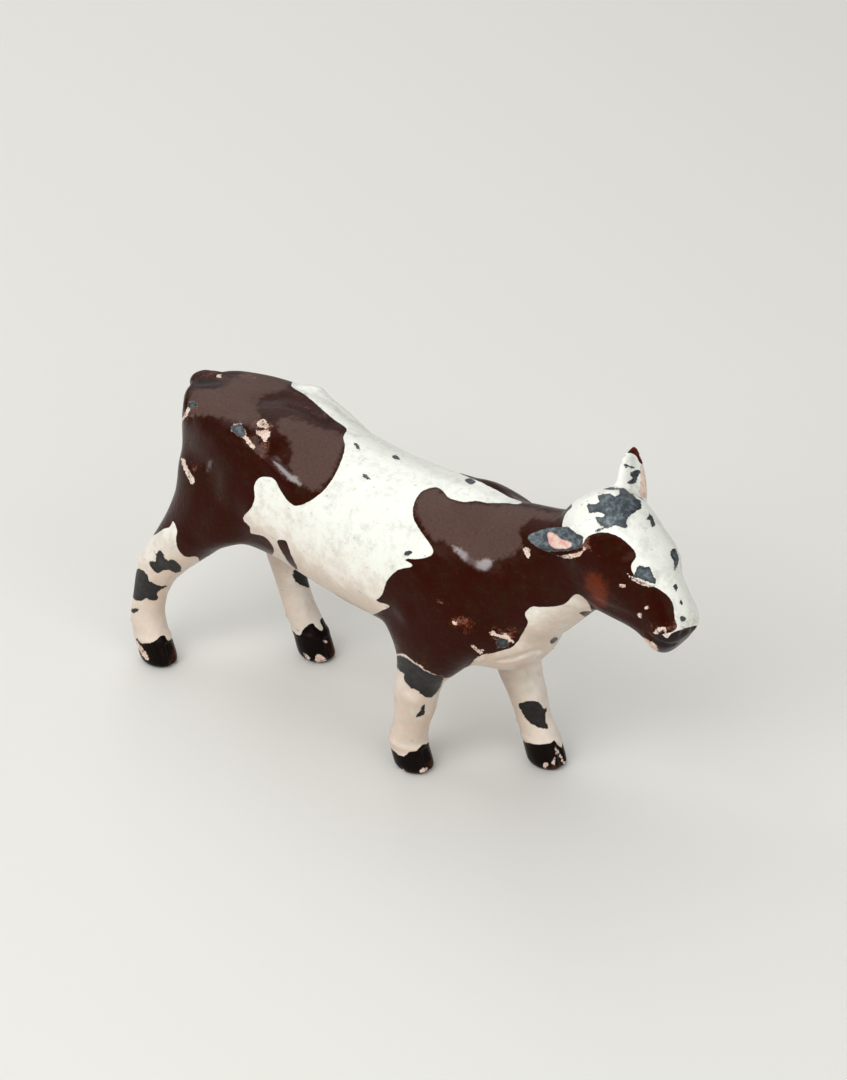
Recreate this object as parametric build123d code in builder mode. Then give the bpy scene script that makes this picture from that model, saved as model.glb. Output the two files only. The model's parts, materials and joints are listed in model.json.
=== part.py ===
"""A painted hollow-cast metal calf, about two inches long, walking with its head low.

Millimetres. +X is the way the nose points, +Y the calf's left, +Z up, and the soles stand on Z = 0.
The animal is one casting. It is drawn here as its members, each a solid of its own, and each
smaller member is cut by the larger one that it grows out of, so that the two seat face to face.
"""

import os
from math import cos, radians, sin

from build123d import *

# Body
rump_reach = 22.4  # from the middle of the calf back to the rump
back_height = 24.9
torso_length = 35.8
torso_width = 12.4
torso_depth_share = 0.5542  # of the height of the back
torso_depth = torso_depth_share * back_height
wall = 1.2  # of the hollow casting
chest_reach = torso_length - rump_reach

# Neck, which starts inside the chest
neck_root_set = 4.9  # behind the front of the chest
neck_root_drop = 7.7  # below the back
neck_length = 10.4
neck_width = 8.2
neck_depth = 10.2
neck_rise = 31.0  # degrees above level

# Head, which starts at the crown, ahead of the neck's end and above its axis
crown_ahead = 0.6
crown_lift = 2.8
skull_length = 8.8
head_width = 6.6
head_depth = 9.6
head_pitch = 34.0  # degrees below level
muzzle_length = 2.1
nostril_radius = 0.34
nostril_out = 1.25
nostril_up = 1.45
nostril_share = 0.8  # along the muzzle
eye_radius = 0.6
eye_along = 6.0
eye_up = 2.3
eye_out_share = 0.5909  # of half the head's width

# Ears, each rooted at its own place on the skull: the left one stands up, the right one lies back
ear_length = 4.6
ear_width = 2.5
ear_thickness = 1.0
ear_dish = 0.45  # how deep the inner face is hollowed
left_ear_along = 0.95
left_ear_out = 1.9
left_ear_up = 2.7
right_ear_along = 1.7
right_ear_out = 2.5
right_ear_up = 1.05

# Legs and hooves
hoof_height = 2.2
toe_lead = 0.65  # how far the sole stands ahead of the top of the hoof
sole_bevel = 0.35
cleft_width = 0.45
cleft_depth = 0.8
cleft_height = 1.3
hip_set = 5.3  # ahead of the rump
hip_drop = 2.6  # below the back
hind_track = 9.0  # between the soles of the two hind hooves
hind_stride = 9.6
hind_drift = -0.55  # the hind hooves stand a little to the right
hock_set = 3.3  # how far the hock stands behind the hip
thigh_depth = 9.8
thigh_width = 5.2
hind_shank_depth = 2.9
hind_shank_width = 2.45
shoulder_set = 5.1  # behind the front of the chest
shoulder_drop = 3.4  # below the back
fore_track = 7.2
fore_stride = 8.3
fore_drift = 0.35
elbow_set = 3.3  # how far the elbow stands behind the point of the shoulder
shoulder_depth = 7.8
shoulder_width = 4.4
fore_shank_depth = 3.05
fore_shank_width = 2.55

# Tail, which lies down the rump and swings to the right thigh
tail_length = 12.2
tail_width = 1.9
tail_thickness = 1.3
tail_proud = 0.25  # how far its middle stands behind the rump
tail_root_drop = 0.0  # below the back
tail_sway = 3.2

# A quarter of a section drawn with this share is a quarter of an ellipse, and the head is fuller
round_share = 0.5523
brow_share = 0.64
facets = 5  # straight sides in a quarter of every section

# Along the torso from the rump, top below the back, bottom above the belly, width, and how
# square the section is above and below
torso_shares = (
    (0.000, 0.08, 0.58, 0.34, 0.84, 0.56),
    (0.014, 0.02, 0.44, 0.50, 0.88, 0.56),
    (0.045, 0.00, 0.29, 0.64, 0.90, 0.56),
    (0.120, 0.00, 0.15, 0.83, 0.90, 0.56),
    (0.215, 0.00, 0.09, 0.97, 0.90, 0.56),
    (0.300, 0.02, 0.08, 0.92, 0.80, 0.56),
    (0.400, 0.055, 0.03, 0.89, 0.62, 0.58),
    (0.520, 0.085, 0.005, 0.95, 0.56, 0.60),
    (0.650, 0.09, 0.00, 1.00, 0.56, 0.60),
    (0.770, 0.05, -0.03, 0.98, 0.56, 0.58),
    (0.865, 0.07, -0.06, 0.88, 0.56, 0.56),
    (0.935, 0.18, -0.02, 0.74, 0.56, 0.56),
    (0.980, 0.31, 0.08, 0.54, 0.56, 0.56),
    (1.000, 0.42, 0.22, 0.32, 0.56, 0.56),
)

# Along the neck, rise above its axis, drop below it, width
neck_shares = (
    (0.00, 0.60, 0.49, 1.22),
    (0.40, 0.56, 0.48, 1.02),
    (0.72, 0.44, 0.38, 0.84),
    (1.00, 0.36, 0.31, 0.74),
)

# Along the skull, rise above its axis, drop below it, width
skull_shares = (
    (-0.20, 0.08, 0.20, 0.24),
    (-0.17, 0.19, 0.28, 0.52),
    (-0.11, 0.31, 0.36, 0.76),
    (0.00, 0.41, 0.43, 0.91),
    (0.22, 0.48, 0.50, 1.00),
    (0.43, 0.46, 0.51, 0.95),
    (0.65, 0.41, 0.42, 0.80),
    (0.87, 0.30, 0.31, 0.66),
    (1.00, 0.24, 0.28, 0.62),
)

# Along the muzzle, and its rise, drop and width as shares of the head's
muzzle_shares = (
    (0.45, 0.190, 0.295, 0.68),
    (0.78, 0.135, 0.270, 0.60),
    (1.00, 0.055, 0.215, 0.42),
)

# Height, bend of the leg, share of the stride, depth, width and spread of the two legs
hind_shank_shares = (
    (0.000, -0.74, 0.96, 0.58, 0.57, 1.00),
    (0.050, -0.90, 0.93, 0.57, 0.55, 1.00),
    (0.115, -1.04, 0.85, 0.54, 0.51, 1.01),
    (0.200, -1.11, 0.72, 0.54, 0.50, 1.02),
    (0.290, -1.09, 0.60, 0.67, 0.59, 1.02),
    (0.385, -0.88, 0.48, 0.90, 0.69, 1.00),
)
thigh_shares = (
    (0.530, -0.28, 0.36, 0.34, 0.43, 0.93),
    (0.610, 0.14, 0.27, 0.45, 0.47, 0.86),
    (0.725, 0.37, 0.15, 0.50, 0.51, 0.80),
    (0.860, 0.05, 0.05, 0.45, 0.48, 0.70),
    (1.000, 0.00, 0.00, 0.26, 0.36, 0.50),
)
fore_shank_shares = (
    (0.000, -0.79, 0.89, 0.55, 0.55, 1.00),
    (0.040, -0.83, 0.83, 0.53, 0.53, 1.00),
    (0.105, -0.87, 0.72, 0.52, 0.51, 1.01),
    (0.185, -0.88, 0.60, 0.58, 0.57, 1.02),
    (0.260, -0.97, 0.50, 0.65, 0.64, 1.03),
    (0.345, -0.94, 0.39, 0.69, 0.67, 1.03),
)
shoulder_shares = (
    (0.445, -0.74, 0.29, 0.39, 0.46, 1.05),
    (0.500, -0.79, 0.20, 0.46, 0.49, 1.07),
    (0.580, -0.84, 0.13, 0.60, 0.52, 1.08),
    (0.720, -0.34, 0.03, 0.50, 0.51, 1.04),
    (0.870, -0.21, 0.00, 0.40, 0.42, 0.78),
    (1.000, 0.00, 0.00, 0.24, 0.30, 0.50),
)

# A hoof is wider below by this much
flare_share = 1.03

# The hollow of the ear is this much narrower than its leaf
dish_share = 0.7

# Which way each ear reaches, and which way its hollow faces: ahead, left and up
left_reach_share = (-2.0, 2.9, 2.4)
left_face_share = (0.85, -0.10, 0.50)
right_reach_share = (-3.5, -3.1, 0.7)
right_face_share = (0.45, -0.80, 0.05)

# Along the ear from its root, width and thickness
ear_shares = (
    (0.00, 1.30, 0.95),
    (0.22, 1.22, 1.00),
    (0.46, 1.06, 0.95),
    (0.72, 0.80, 0.78),
    (0.91, 0.44, 0.52),
    (1.00, 0.18, 0.28),
)

# Down the tail, back from the rump, to the left, width and thickness
tail_shares = (
    (0.000, -0.45, 0.00, 0.40),
    (0.020, -0.20, 0.00, 0.74),
    (0.055, 0.05, 0.00, 0.94),
    (0.150, 0.10, 0.00, 0.88),
    (0.350, 0.06, -0.02, 0.78),
    (0.560, -0.05, -0.18, 0.74),
    (0.730, -0.28, -0.54, 0.82),
    (0.880, -0.20, -0.84, 1.00),
    (1.000, -0.10, -0.95, 0.45),
)


def quarter(share):
    """Points a quarter of the way round a section one unit wide and high, its end left out."""
    points = []
    for step in range(facets):
        t = step / facets
        side = (1 - t) ** 3 + 3 * t * (1 - t) ** 2 + 3 * share * t**2 * (1 - t)
        rise = 3 * share * t * (1 - t) ** 2 + 3 * t**2 * (1 - t) + t**3
        points.append((side, rise))
    return points


def oval(plane, half_width, rise, drop, top_share=round_share, bottom_share=round_share):
    """A many-sided section that rises and drops from the plane's origin, fuller than an ellipse if asked."""
    above, below = quarter(top_share), quarter(bottom_share)
    ring = [(side * half_width, up * rise) for side, up in above]
    ring += [(-up * half_width, side * rise) for side, up in above]
    ring += [(-side * half_width, -up * drop) for side, up in below]
    ring += [(up * half_width, -side * drop) for side, up in below]
    with BuildSketch(plane) as section:
        with BuildLine():
            Polyline(*ring, close=True)
        make_face()
    return section.sketch.face()


def facing(ahead, height, pitch=0):
    """A plane across the calf, looking forward and tipped up by pitch degrees."""
    look = (cos(radians(pitch)), 0, sin(radians(pitch)))
    return Plane(origin=(ahead, 0, height), x_dir=(0, 1, 0), z_dir=look)


def level(ahead, side, height):
    """A level plane, its second axis pointing forward."""
    return Plane(origin=(ahead, side, height), x_dir=(0, -1, 0), z_dir=(0, 0, 1))


def torso_section(row, inset):
    """One section of the torso, drawn in by inset all round."""
    along, top, bottom, width, top_share, bottom_share = row
    high = back_height - top * torso_depth - inset
    low = back_height - (1 - bottom) * torso_depth + inset
    middle = (high + low) / 2
    half_depth = (high - low) / 2
    half_width = width * torso_width / 2 - inset
    plane = facing(along * torso_length - rump_reach, middle)
    return oval(plane, half_width, half_depth, half_depth, top_share, bottom_share)


with BuildPart() as torso_form:
    loft([torso_section(row, 0) for row in torso_shares], ruled=True)

with BuildPart() as torso:
    add(torso_form.part)
    hollow = [torso_section((*row[:4], round_share, round_share), wall) for row in torso_shares[2:-2:2]]
    loft(hollow, ruled=True, mode=Mode.SUBTRACT)


def leg_sections(rows, height, hip_ahead, bend, stride, track, drift, depth, width):
    """Level sections of a leg; the signs of track and stride say which leg of the pair it is."""
    sections = []
    for up, bent, swing, deep, wide, spread in rows:
        ahead = hip_ahead + bent * bend + swing * stride / 2
        side = spread * track / 2 + swing * drift
        plane = level(ahead, side, hoof_height + up * height)
        sections.append(oval(plane, wide * width, deep * depth, deep * depth))
    return sections


def hind_sections(side, step):
    """Sections of a hind leg from the top of its hoof to the hip."""
    height = back_height - hip_drop - hoof_height
    stride, track = step * hind_stride, side * hind_track
    place = (height, hip_set - rump_reach, hock_set, stride, track, hind_drift)
    shank = leg_sections(hind_shank_shares, *place, hind_shank_depth, hind_shank_width)
    return shank + leg_sections(thigh_shares, *place, thigh_depth, thigh_width)


def fore_sections(side, step):
    """Sections of a fore leg from the top of its hoof to the shoulder."""
    height = back_height - shoulder_drop - hoof_height
    stride, track = step * fore_stride, side * fore_track
    place = (height, chest_reach - shoulder_set, elbow_set, stride, track, fore_drift)
    shank = leg_sections(fore_shank_shares, *place, fore_shank_depth, fore_shank_width)
    return shank + leg_sections(shoulder_shares, *place, shoulder_depth, shoulder_width)


def make_leg(sections):
    """A leg cut off where the torso begins."""
    with BuildPart() as leg:
        loft(sections, ruled=True)
        add(torso_form.part, mode=Mode.SUBTRACT)
    return leg.part


def make_hoof(top):
    """A cloven hoof under the top section of the leg, its toe ahead and its sole on the ground."""
    box = top.bounding_box()
    half_depth, half_width = box.size.X / 2, box.size.Y / 2
    ahead, side = box.center().X, box.center().Y
    flared_depth, flared_width = flare_share * half_depth, flare_share * half_width
    worn_depth, worn_width = flared_depth - sole_bevel, flared_width - sole_bevel
    sole_ahead = ahead + toe_lead
    toe = sole_ahead + flared_depth
    with BuildPart() as hoof:
        sole = oval(level(sole_ahead, side, 0), worn_width, worn_depth, worn_depth)
        edge = oval(level(sole_ahead, side, sole_bevel), flared_width, flared_depth, flared_depth)
        loft([sole, edge, top], ruled=True)
        with BuildSketch() as cleft:
            with BuildLine():
                Polyline(
                    (toe + cleft_width, side + cleft_width),
                    (toe - cleft_depth, side),
                    (toe + cleft_width, side - cleft_width),
                    close=True,
                )
            make_face()
        extrude(amount=cleft_height, mode=Mode.SUBTRACT)
    return hoof.part


# Which way each leg goes: side is +1 on the left, step is +1 for a leg that reaches forward
stances = {
    "hind_left": (hind_sections, 1, 1),
    "hind_right": (hind_sections, -1, -1),
    "fore_left": (fore_sections, 1, 1),
    "fore_right": (fore_sections, -1, -1),
}
legs, hooves = {}, {}
for place, (sections_of, side, step) in stances.items():
    sections = sections_of(side, step)
    legs[place] = make_leg(sections)
    hooves[place] = make_hoof(sections[0])


neck_root_ahead = chest_reach - neck_root_set
neck_root_height = back_height - neck_root_drop


def neck_place(along, lift):
    """How far ahead and how high a place along the neck is, lifted square to the neck's axis."""
    rise = radians(neck_rise)
    ahead = neck_root_ahead + along * cos(rise) - lift * sin(rise)
    return ahead, neck_root_height + along * sin(rise) + lift * cos(rise)


crown_place = neck_place(neck_length + crown_ahead, crown_lift)


def head_plane(along):
    """The plane across the head at a place along its axis from the crown."""
    pitch = radians(head_pitch)
    return facing(crown_place[0] + along * cos(pitch), crown_place[1] - along * sin(pitch), -head_pitch)


def head_section(along, rise, drop, width):
    """One section of the head, square to its axis and full above."""
    return oval(head_plane(along), width * head_width / 2, rise * head_depth, drop * head_depth, brow_share)


skull_sections = [head_section(along * skull_length, *sizes) for along, *sizes in skull_shares]
muzzle_sections = [
    head_section(skull_length + along * muzzle_length, *sizes) for along, *sizes in muzzle_shares
]

with BuildPart() as head:
    loft(skull_sections, ruled=True)

with BuildPart() as muzzle:
    loft([skull_sections[-1], *muzzle_sections], ruled=True)
    nose_plane = head_plane(skull_length + nostril_share * muzzle_length)
    for side in (-1, 1):
        with Locations(nose_plane.from_local_coords((side * nostril_out, nostril_up, 0))):
            Sphere(nostril_radius, mode=Mode.SUBTRACT)

with BuildPart() as neck:
    neck_sections = []
    for along, rise, drop, width in neck_shares:
        plane = facing(*neck_place(along * neck_length, 0), neck_rise)
        neck_sections.append(oval(plane, width * neck_width / 2, rise * neck_depth, drop * neck_depth))
    loft(neck_sections, ruled=True)
    for neighbour in (torso_form.part, head.part, legs["fore_left"], legs["fore_right"]):
        add(neighbour, mode=Mode.SUBTRACT)


def make_ear(along, out, up, reach_share, face_share):
    """A leaf-shaped ear on the skull, hollowed on the side that it faces."""
    root = head_plane(along).from_local_coords((out, up, 0))
    direction = Vector(*reach_share).normalized()
    across = direction.cross(Vector(*face_share)).normalized()
    inward = direction.cross(across)
    leaf, dish = [], []
    for length, width, thick in ear_shares:
        middle = root + direction * (length * ear_length)
        half_width, half_thick = width * ear_width / 2, thick * ear_thickness / 2
        leaf.append(oval(Plane(middle, x_dir=across, z_dir=direction), half_width, half_thick, half_thick))
        hollow = Plane(middle - inward * half_thick, x_dir=across, z_dir=direction)
        dish.append(oval(hollow, dish_share * half_width, thick * ear_dish, ear_thickness))
    with BuildPart() as ear:
        loft(leaf, ruled=True)
        loft(dish[1:-1], ruled=True, mode=Mode.SUBTRACT)
        add(head.part, mode=Mode.SUBTRACT)
        add(neck.part, mode=Mode.SUBTRACT)
    return ear.part


ears = {
    "left": make_ear(left_ear_along, left_ear_out, left_ear_up, left_reach_share, left_face_share),
    "right": make_ear(right_ear_along, -right_ear_out, right_ear_up, right_reach_share, right_face_share),
}


def make_eye(side):
    """The part of a ball that stands out of the head."""
    eye_out = eye_out_share * head_width / 2
    with BuildPart() as eye:
        with Locations(head_plane(eye_along).from_local_coords((side * eye_out, eye_up, 0))):
            Sphere(eye_radius)
        add(head.part, mode=Mode.SUBTRACT)
    return eye.part


eyes = {"left": make_eye(1), "right": make_eye(-1)}

with BuildPart() as tail:
    tail_sections = []
    for down, back, aside, width in tail_shares:
        ahead = -rump_reach - tail_proud - back * tail_thickness
        plane = level(ahead, aside * tail_sway, back_height - tail_root_drop - down * tail_length)
        half_thick = width * tail_thickness / 2
        tail_sections.append(oval(plane, width * tail_width / 2, half_thick, half_thick))
    loft(tail_sections, ruled=True)
    for neighbour in (torso_form.part, legs["hind_left"], legs["hind_right"]):
        add(neighbour, mode=Mode.SUBTRACT)

pieces = {
    "torso": torso.part,
    "neck": neck.part,
    "head": head.part,
    "muzzle": muzzle.part,
    "tail": tail.part,
}
for side in ("left", "right"):
    pieces[side + "_ear"] = ears[side]
    pieces[side + "_eye"] = eyes[side]
for place in stances:
    pieces[place + "_leg"] = legs[place]
    pieces[place + "_hoof"] = hooves[place]

os.makedirs("parts", exist_ok=True)
for name, piece in pieces.items():
    piece.label = name
    export_step(piece, f"parts/{name}.step")
    print(name, "solids", len(piece.solids()), "volume", round(piece.volume, 2), "valid", piece.is_valid)
whole = Compound(children=list(pieces.values())).bounding_box()
print("whole", whole.min, whole.max)
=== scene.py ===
"""A small old calf figure, cast hollow in lead alloy, painted by hand and worn by play.

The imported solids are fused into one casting, its anatomy is worked into the skin, and the paint is
laid on from outlines: those drawn in the photograph's own pixels are thrown onto the side that the
camera sees, and those drawn in millimetres cover the side that it doesn't.
"""

import json
import logging
import math
from dataclasses import dataclass
from enum import Enum
from typing import Any, Iterable, Sequence, Union

import bmesh
import bpy
import numpy as np
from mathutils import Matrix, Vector
from mathutils.bvhtree import BVHTree

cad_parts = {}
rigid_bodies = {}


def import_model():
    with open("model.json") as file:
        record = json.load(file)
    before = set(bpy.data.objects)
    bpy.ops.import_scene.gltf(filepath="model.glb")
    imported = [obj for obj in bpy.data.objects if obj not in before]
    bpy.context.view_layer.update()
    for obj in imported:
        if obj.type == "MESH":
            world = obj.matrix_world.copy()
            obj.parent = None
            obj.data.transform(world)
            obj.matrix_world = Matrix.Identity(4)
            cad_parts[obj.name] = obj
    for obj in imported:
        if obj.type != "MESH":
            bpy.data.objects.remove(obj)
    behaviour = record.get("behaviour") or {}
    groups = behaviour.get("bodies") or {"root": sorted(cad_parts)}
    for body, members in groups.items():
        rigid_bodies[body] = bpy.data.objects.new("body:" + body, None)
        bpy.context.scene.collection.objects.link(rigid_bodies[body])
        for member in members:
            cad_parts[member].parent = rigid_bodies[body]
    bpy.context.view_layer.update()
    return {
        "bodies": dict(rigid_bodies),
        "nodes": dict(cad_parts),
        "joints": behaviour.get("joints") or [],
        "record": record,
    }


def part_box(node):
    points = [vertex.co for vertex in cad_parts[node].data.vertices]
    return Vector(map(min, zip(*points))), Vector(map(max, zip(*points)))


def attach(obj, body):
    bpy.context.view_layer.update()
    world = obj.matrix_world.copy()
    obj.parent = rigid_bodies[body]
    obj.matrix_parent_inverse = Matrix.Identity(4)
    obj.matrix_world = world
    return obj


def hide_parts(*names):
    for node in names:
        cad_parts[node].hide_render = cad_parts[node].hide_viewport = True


MM = 0.001
TINY = 1e-12
LOG = logging.getLogger("calf")

Pixel = tuple[float, float]
Colour = tuple[float, float, float, float]


def from_srgb(red: int, green: int, blue: int) -> Colour:
    """Turns a colour as a screen shows it into the linear one that a shader takes.

    Args:
        red: how red it is, from 0 to 255.
        green: how green it is.
        blue: how blue it is.

    Returns:
        The linear colour, with an alpha of 1.
    """
    linear = []
    for value in (red, green, blue):
        share = value / 255
        linear.append(share / 12.92 if share <= 0.04045 else ((share + 0.055) / 1.055) ** 2.4)
    return (*linear, 1.0)


def smooth_rise(values: np.ndarray, low: float, high: float) -> np.ndarray:
    """0 below low, 1 above high and a smooth rise between."""
    share = np.clip((values - low) / (high - low), 0, 1)
    return share * share * (3 - 2 * share)


def segment_gap(points: np.ndarray, start: np.ndarray, end: np.ndarray) -> np.ndarray:
    """How far points are from a straight line between two places.

    Args:
        points: places, one a row.
        start: where the line begins.
        end: where it ends, which may be where it begins.

    Returns:
        The distance of each point.
    """
    along = end - start
    length = float(along @ along)
    offset = points - start
    share = np.clip(offset @ along / length, 0, 1) if length > TINY else np.zeros(len(points))
    return np.linalg.norm(offset - share[:, None] * along, axis=1)


def add_object(name: str, data: bpy.types.ID) -> bpy.types.Object:
    """Puts something into the scene.

    Args:
        name: the new object's name.
        data: the mesh, camera or light that it holds.

    Returns:
        The object.
    """
    made = bpy.data.objects.new(name, data)
    bpy.context.scene.collection.objects.link(made)
    return made


def settled(carrier: bpy.types.Object) -> bpy.types.Mesh:
    """Takes the mesh that an object's modifiers make, and the object out of the scene.

    Args:
        carrier: the object, which is removed.

    Returns:
        The plain mesh.
    """
    graph = bpy.context.evaluated_depsgraph_get()
    mesh = bpy.data.meshes.new_from_object(carrier.evaluated_get(graph), depsgraph=graph)
    bpy.data.objects.remove(carrier)
    return mesh


# The camera


@dataclass(frozen=True)
class Viewpoint:
    """Where the photograph was taken from, in millimetres and in its own 847 by 1080 pixels.

    Only clip, the nearest and farthest thing that the camera shows, is in metres.
    """

    azimuth: float = 41.0
    elevation: float = 29.5
    distance: float = 260.0
    pixels_per_mm: float = 12.7
    target: tuple[float, float, float] = (-4.3, 5.7, 12.0)
    target_pixel: Pixel = (423.0, 560.0)
    frame: Pixel = (847.0, 1080.0)
    sensor: float = 36.0
    clip: tuple[float, float] = (0.01, 10.0)

    @property
    def axes(self) -> np.ndarray:
        """The camera's own directions.

        Returns:
            Rows that point to the right, up and back from the camera.
        """
        turn, tip = math.radians(self.azimuth), math.radians(self.elevation)
        right = np.array([math.cos(turn), math.sin(turn), 0.0])
        back = np.array([math.sin(turn) * math.cos(tip), -math.cos(turn) * math.cos(tip), math.sin(tip)])
        return np.stack([right, np.cross(back, right), back])

    @property
    def eye(self) -> np.ndarray:
        """The camera's place in millimetres."""
        return np.array(self.target) + self.axes[2] * self.distance

    @property
    def focal(self) -> float:
        """The focal length in pixels."""
        return self.pixels_per_mm * self.distance

    def pixels(self, points: np.ndarray) -> np.ndarray:
        """Where points fall in the photograph.

        Args:
            points: places in millimetres, one a row.

        Returns:
            The pixel of each, one a row.
        """
        local = (points - self.eye) @ self.axes.T
        scale = self.focal / -local[:, 2]
        across = self.target_pixel[0] + scale * local[:, 0]
        down = self.target_pixel[1] - scale * local[:, 1]
        return np.stack([across, down], axis=1)

    def ray(self, pixel: Pixel) -> np.ndarray:
        """The direction in which the camera looks through a pixel.

        Args:
            pixel: the pixel of the photograph.

        Returns:
            The direction, one long.
        """
        right, up, back = self.axes
        across = (pixel[0] - self.target_pixel[0]) / self.focal
        down = (pixel[1] - self.target_pixel[1]) / self.focal
        line = right * across - up * down - back
        return line / np.linalg.norm(line)

    def build(self) -> bpy.types.Object:
        """Makes the camera.

        Returns:
            The camera's object.
        """
        data = bpy.data.cameras.new("portrait_camera")
        data.sensor_fit = "AUTO"
        data.sensor_width = self.sensor
        data.lens = self.focal / max(self.frame) * self.sensor
        data.shift_x = (self.frame[0] / 2 - self.target_pixel[0]) / max(self.frame)
        data.shift_y = (self.target_pixel[1] - self.frame[1] / 2) / max(self.frame)
        data.clip_start, data.clip_end = self.clip
        camera = add_object("portrait_camera", data)
        camera.location = Vector(self.eye * MM)
        camera.rotation_euler = Vector(-self.axes[2]).to_track_quat("-Z", "Y").to_euler()
        bpy.context.scene.camera = camera
        return camera


# Node trees


class Tree:
    """A node tree, and the one way in which nodes are added to it."""

    def __init__(self, tree: bpy.types.NodeTree) -> None:
        """Keeps the tree that nodes go into."""
        self.tree = tree

    def node(
        self,
        kind: str,
        settings: dict[str, Any] | None = None,
        values: dict[Union[str, int], Any] | None = None,
        output: Union[str, int] = 0,
    ) -> "Wire":
        """Adds a node.

        Args:
            kind: the node's type.
            settings: its own settings, which are made before its sockets are touched.
            values: what each input gets, a number or the wire that feeds it.
            output: which of its outputs is handed back.

        Returns:
            The wire that leaves that output.
        """
        made = self.tree.nodes.new(kind)
        for name, value in (settings or {}).items():
            setattr(made, name, value)
        for key, value in (values or {}).items():
            if isinstance(value, Wire):
                self.tree.links.new(value.socket, made.inputs[key])
            else:
                made.inputs[key].default_value = value
        return Wire(self, made.outputs[output]) if made.outputs else Wire(self, None)


Number = Union[float, int, "Wire"]


class Wire:
    """A number, colour or vector on its way through a tree; arithmetic on it adds Math nodes."""

    def __init__(self, tree: Tree, socket: bpy.types.NodeSocket | None) -> None:
        """Keeps the tree and the output socket that the value comes from."""
        self.tree = tree
        self.socket = socket

    def _math(self, operation: str, first: Number, second: Number) -> "Wire":
        """One Math node."""
        return self.tree.node("ShaderNodeMath", {"operation": operation}, {0: first, 1: second})

    def __add__(self, other: Number) -> "Wire":
        """This plus another."""
        return self._math("ADD", self, other)

    __radd__ = __add__

    def __sub__(self, other: Number) -> "Wire":
        """This less another."""
        return self._math("SUBTRACT", self, other)

    def __rsub__(self, other: Number) -> "Wire":
        """Another less this."""
        return self._math("SUBTRACT", other, self)

    def __mul__(self, other: Number) -> "Wire":
        """This times another."""
        return self._math("MULTIPLY", self, other)

    __rmul__ = __mul__

    def larger(self, other: Number) -> "Wire":
        """The larger of this and another."""
        return self._math("MAXIMUM", self, other)

    def smaller(self, other: Number) -> "Wire":
        """The smaller of this and another."""
        return self._math("MINIMUM", self, other)

    def step(self, low: float, high: float) -> "Wire":
        """0 below low, 1 above high and a smooth rise between them."""
        values = {0: self, 1: low, 2: high, 3: 0.0, 4: 1.0}
        return self.tree.node("ShaderNodeMapRange", {"interpolation_type": "SMOOTHSTEP"}, values)


def weighed(terms: Iterable[tuple[float, Number]]) -> Number:
    """Adds wires up, each times its weight.

    Args:
        terms: each weight and its wire; a weight of 0 leaves its wire out.

    Returns:
        The sum.
    """
    total: Number = 0.0
    for weight, value in terms:
        if weight:
            total = value * weight + total
    return total


class ShapeTree(Tree):
    """The tree of one modifier, which takes a mesh and named numbers and makes another mesh."""

    def __init__(self, name: str, inputs: dict[str, str]) -> None:
        """Makes the tree with its inputs.

        Args:
            name: the tree's name.
            inputs: the name of each number that it takes, and the type of its socket.
        """
        group = bpy.data.node_groups.new(name, "GeometryNodeTree")
        super().__init__(group)
        sockets = group.interface
        sockets.new_socket("Geometry", in_out="INPUT", socket_type="NodeSocketGeometry")
        self.inputs = {
            label: sockets.new_socket(label, in_out="INPUT", socket_type=kind)
            for label, kind in inputs.items()
        }
        sockets.new_socket("Geometry", in_out="OUTPUT", socket_type="NodeSocketGeometry")
        source = group.nodes.new("NodeGroupInput")
        self.given = [Wire(self, source.outputs[index]) for index in range(len(inputs) + 1)]

    def run(self, mesh: bpy.types.Mesh, values: dict[str, Union[int, float]]) -> bpy.types.Mesh:
        """Runs the tree on a mesh.

        Args:
            mesh: the mesh that goes in.
            values: the value of each input.

        Returns:
            The mesh that comes out.
        """
        carrier = add_object(self.tree.name, mesh)
        modifier = carrier.modifiers.new(self.tree.name, "NODES")
        modifier.node_group = self.tree
        for label, value in values.items():
            modifier[self.inputs[label].identifier] = value
        return settled(carrier)


class PaintTree(Tree):
    """The tree of a material or of the world."""

    def __init__(self, owner: Union[bpy.types.Material, bpy.types.World]) -> None:
        """Empties the owner's tree and keeps it.

        Args:
            owner: the material or the world.
        """
        owner.use_nodes = True
        owner.node_tree.nodes.clear()
        super().__init__(owner.node_tree)

    def colour(self, factor: Number, first: Any, second: Any, blend: str = "MIX") -> Wire:
        """One colour over another.

        Args:
            factor: how much of the second shows.
            first: the colour below.
            second: the colour above.
            blend: how they are mixed.

        Returns:
            The mixed colour.
        """
        settings = {"data_type": "RGBA", "blend_type": blend, "clamp_factor": True}
        return self.node("ShaderNodeMix", settings, {0: factor, 6: first, 7: second}, 2)

    def attribute(self, name: str) -> Wire:
        """A number kept on the mesh."""
        return self.node("ShaderNodeAttribute", {"attribute_name": name}, output="Fac")

    def noise(self, place: Wire, grain: "Grain") -> Wire:
        """Cloudy noise of some grain."""
        values = {"Vector": place, "Scale": grain.cells, "Detail": grain.detail, "Roughness": grain.rough}
        return self.node("ShaderNodeTexNoise", {"noise_dimensions": "3D"}, values, "Fac")

    def along(self, axis: int, vector: Wire) -> Wire:
        """One of a vector's three numbers, by its axis from 0 to 2."""
        return self.node("ShaderNodeSeparateXYZ", None, {0: vector}, axis)


# What the paint is made of


@dataclass(frozen=True)
class Enamel:
    """A coat of hobby enamel: its colour, a second that clouds it, and how it shines."""

    colour: Colour
    cloud: Colour
    roughness: float
    coat: float


@dataclass(frozen=True)
class Grain:
    """How coarse a noise is, in cells to the millimetre, and how much finer noise it carries."""

    cells: float
    detail: float = 3.0
    rough: float = 0.55


@dataclass(frozen=True)
class Wear:
    """Between which two levels a layer comes in, and how far three noises shift it."""

    start: float
    end: float
    wander: float = 0.0
    crumb: float = 0.0
    patchy: float = 0.0


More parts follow.
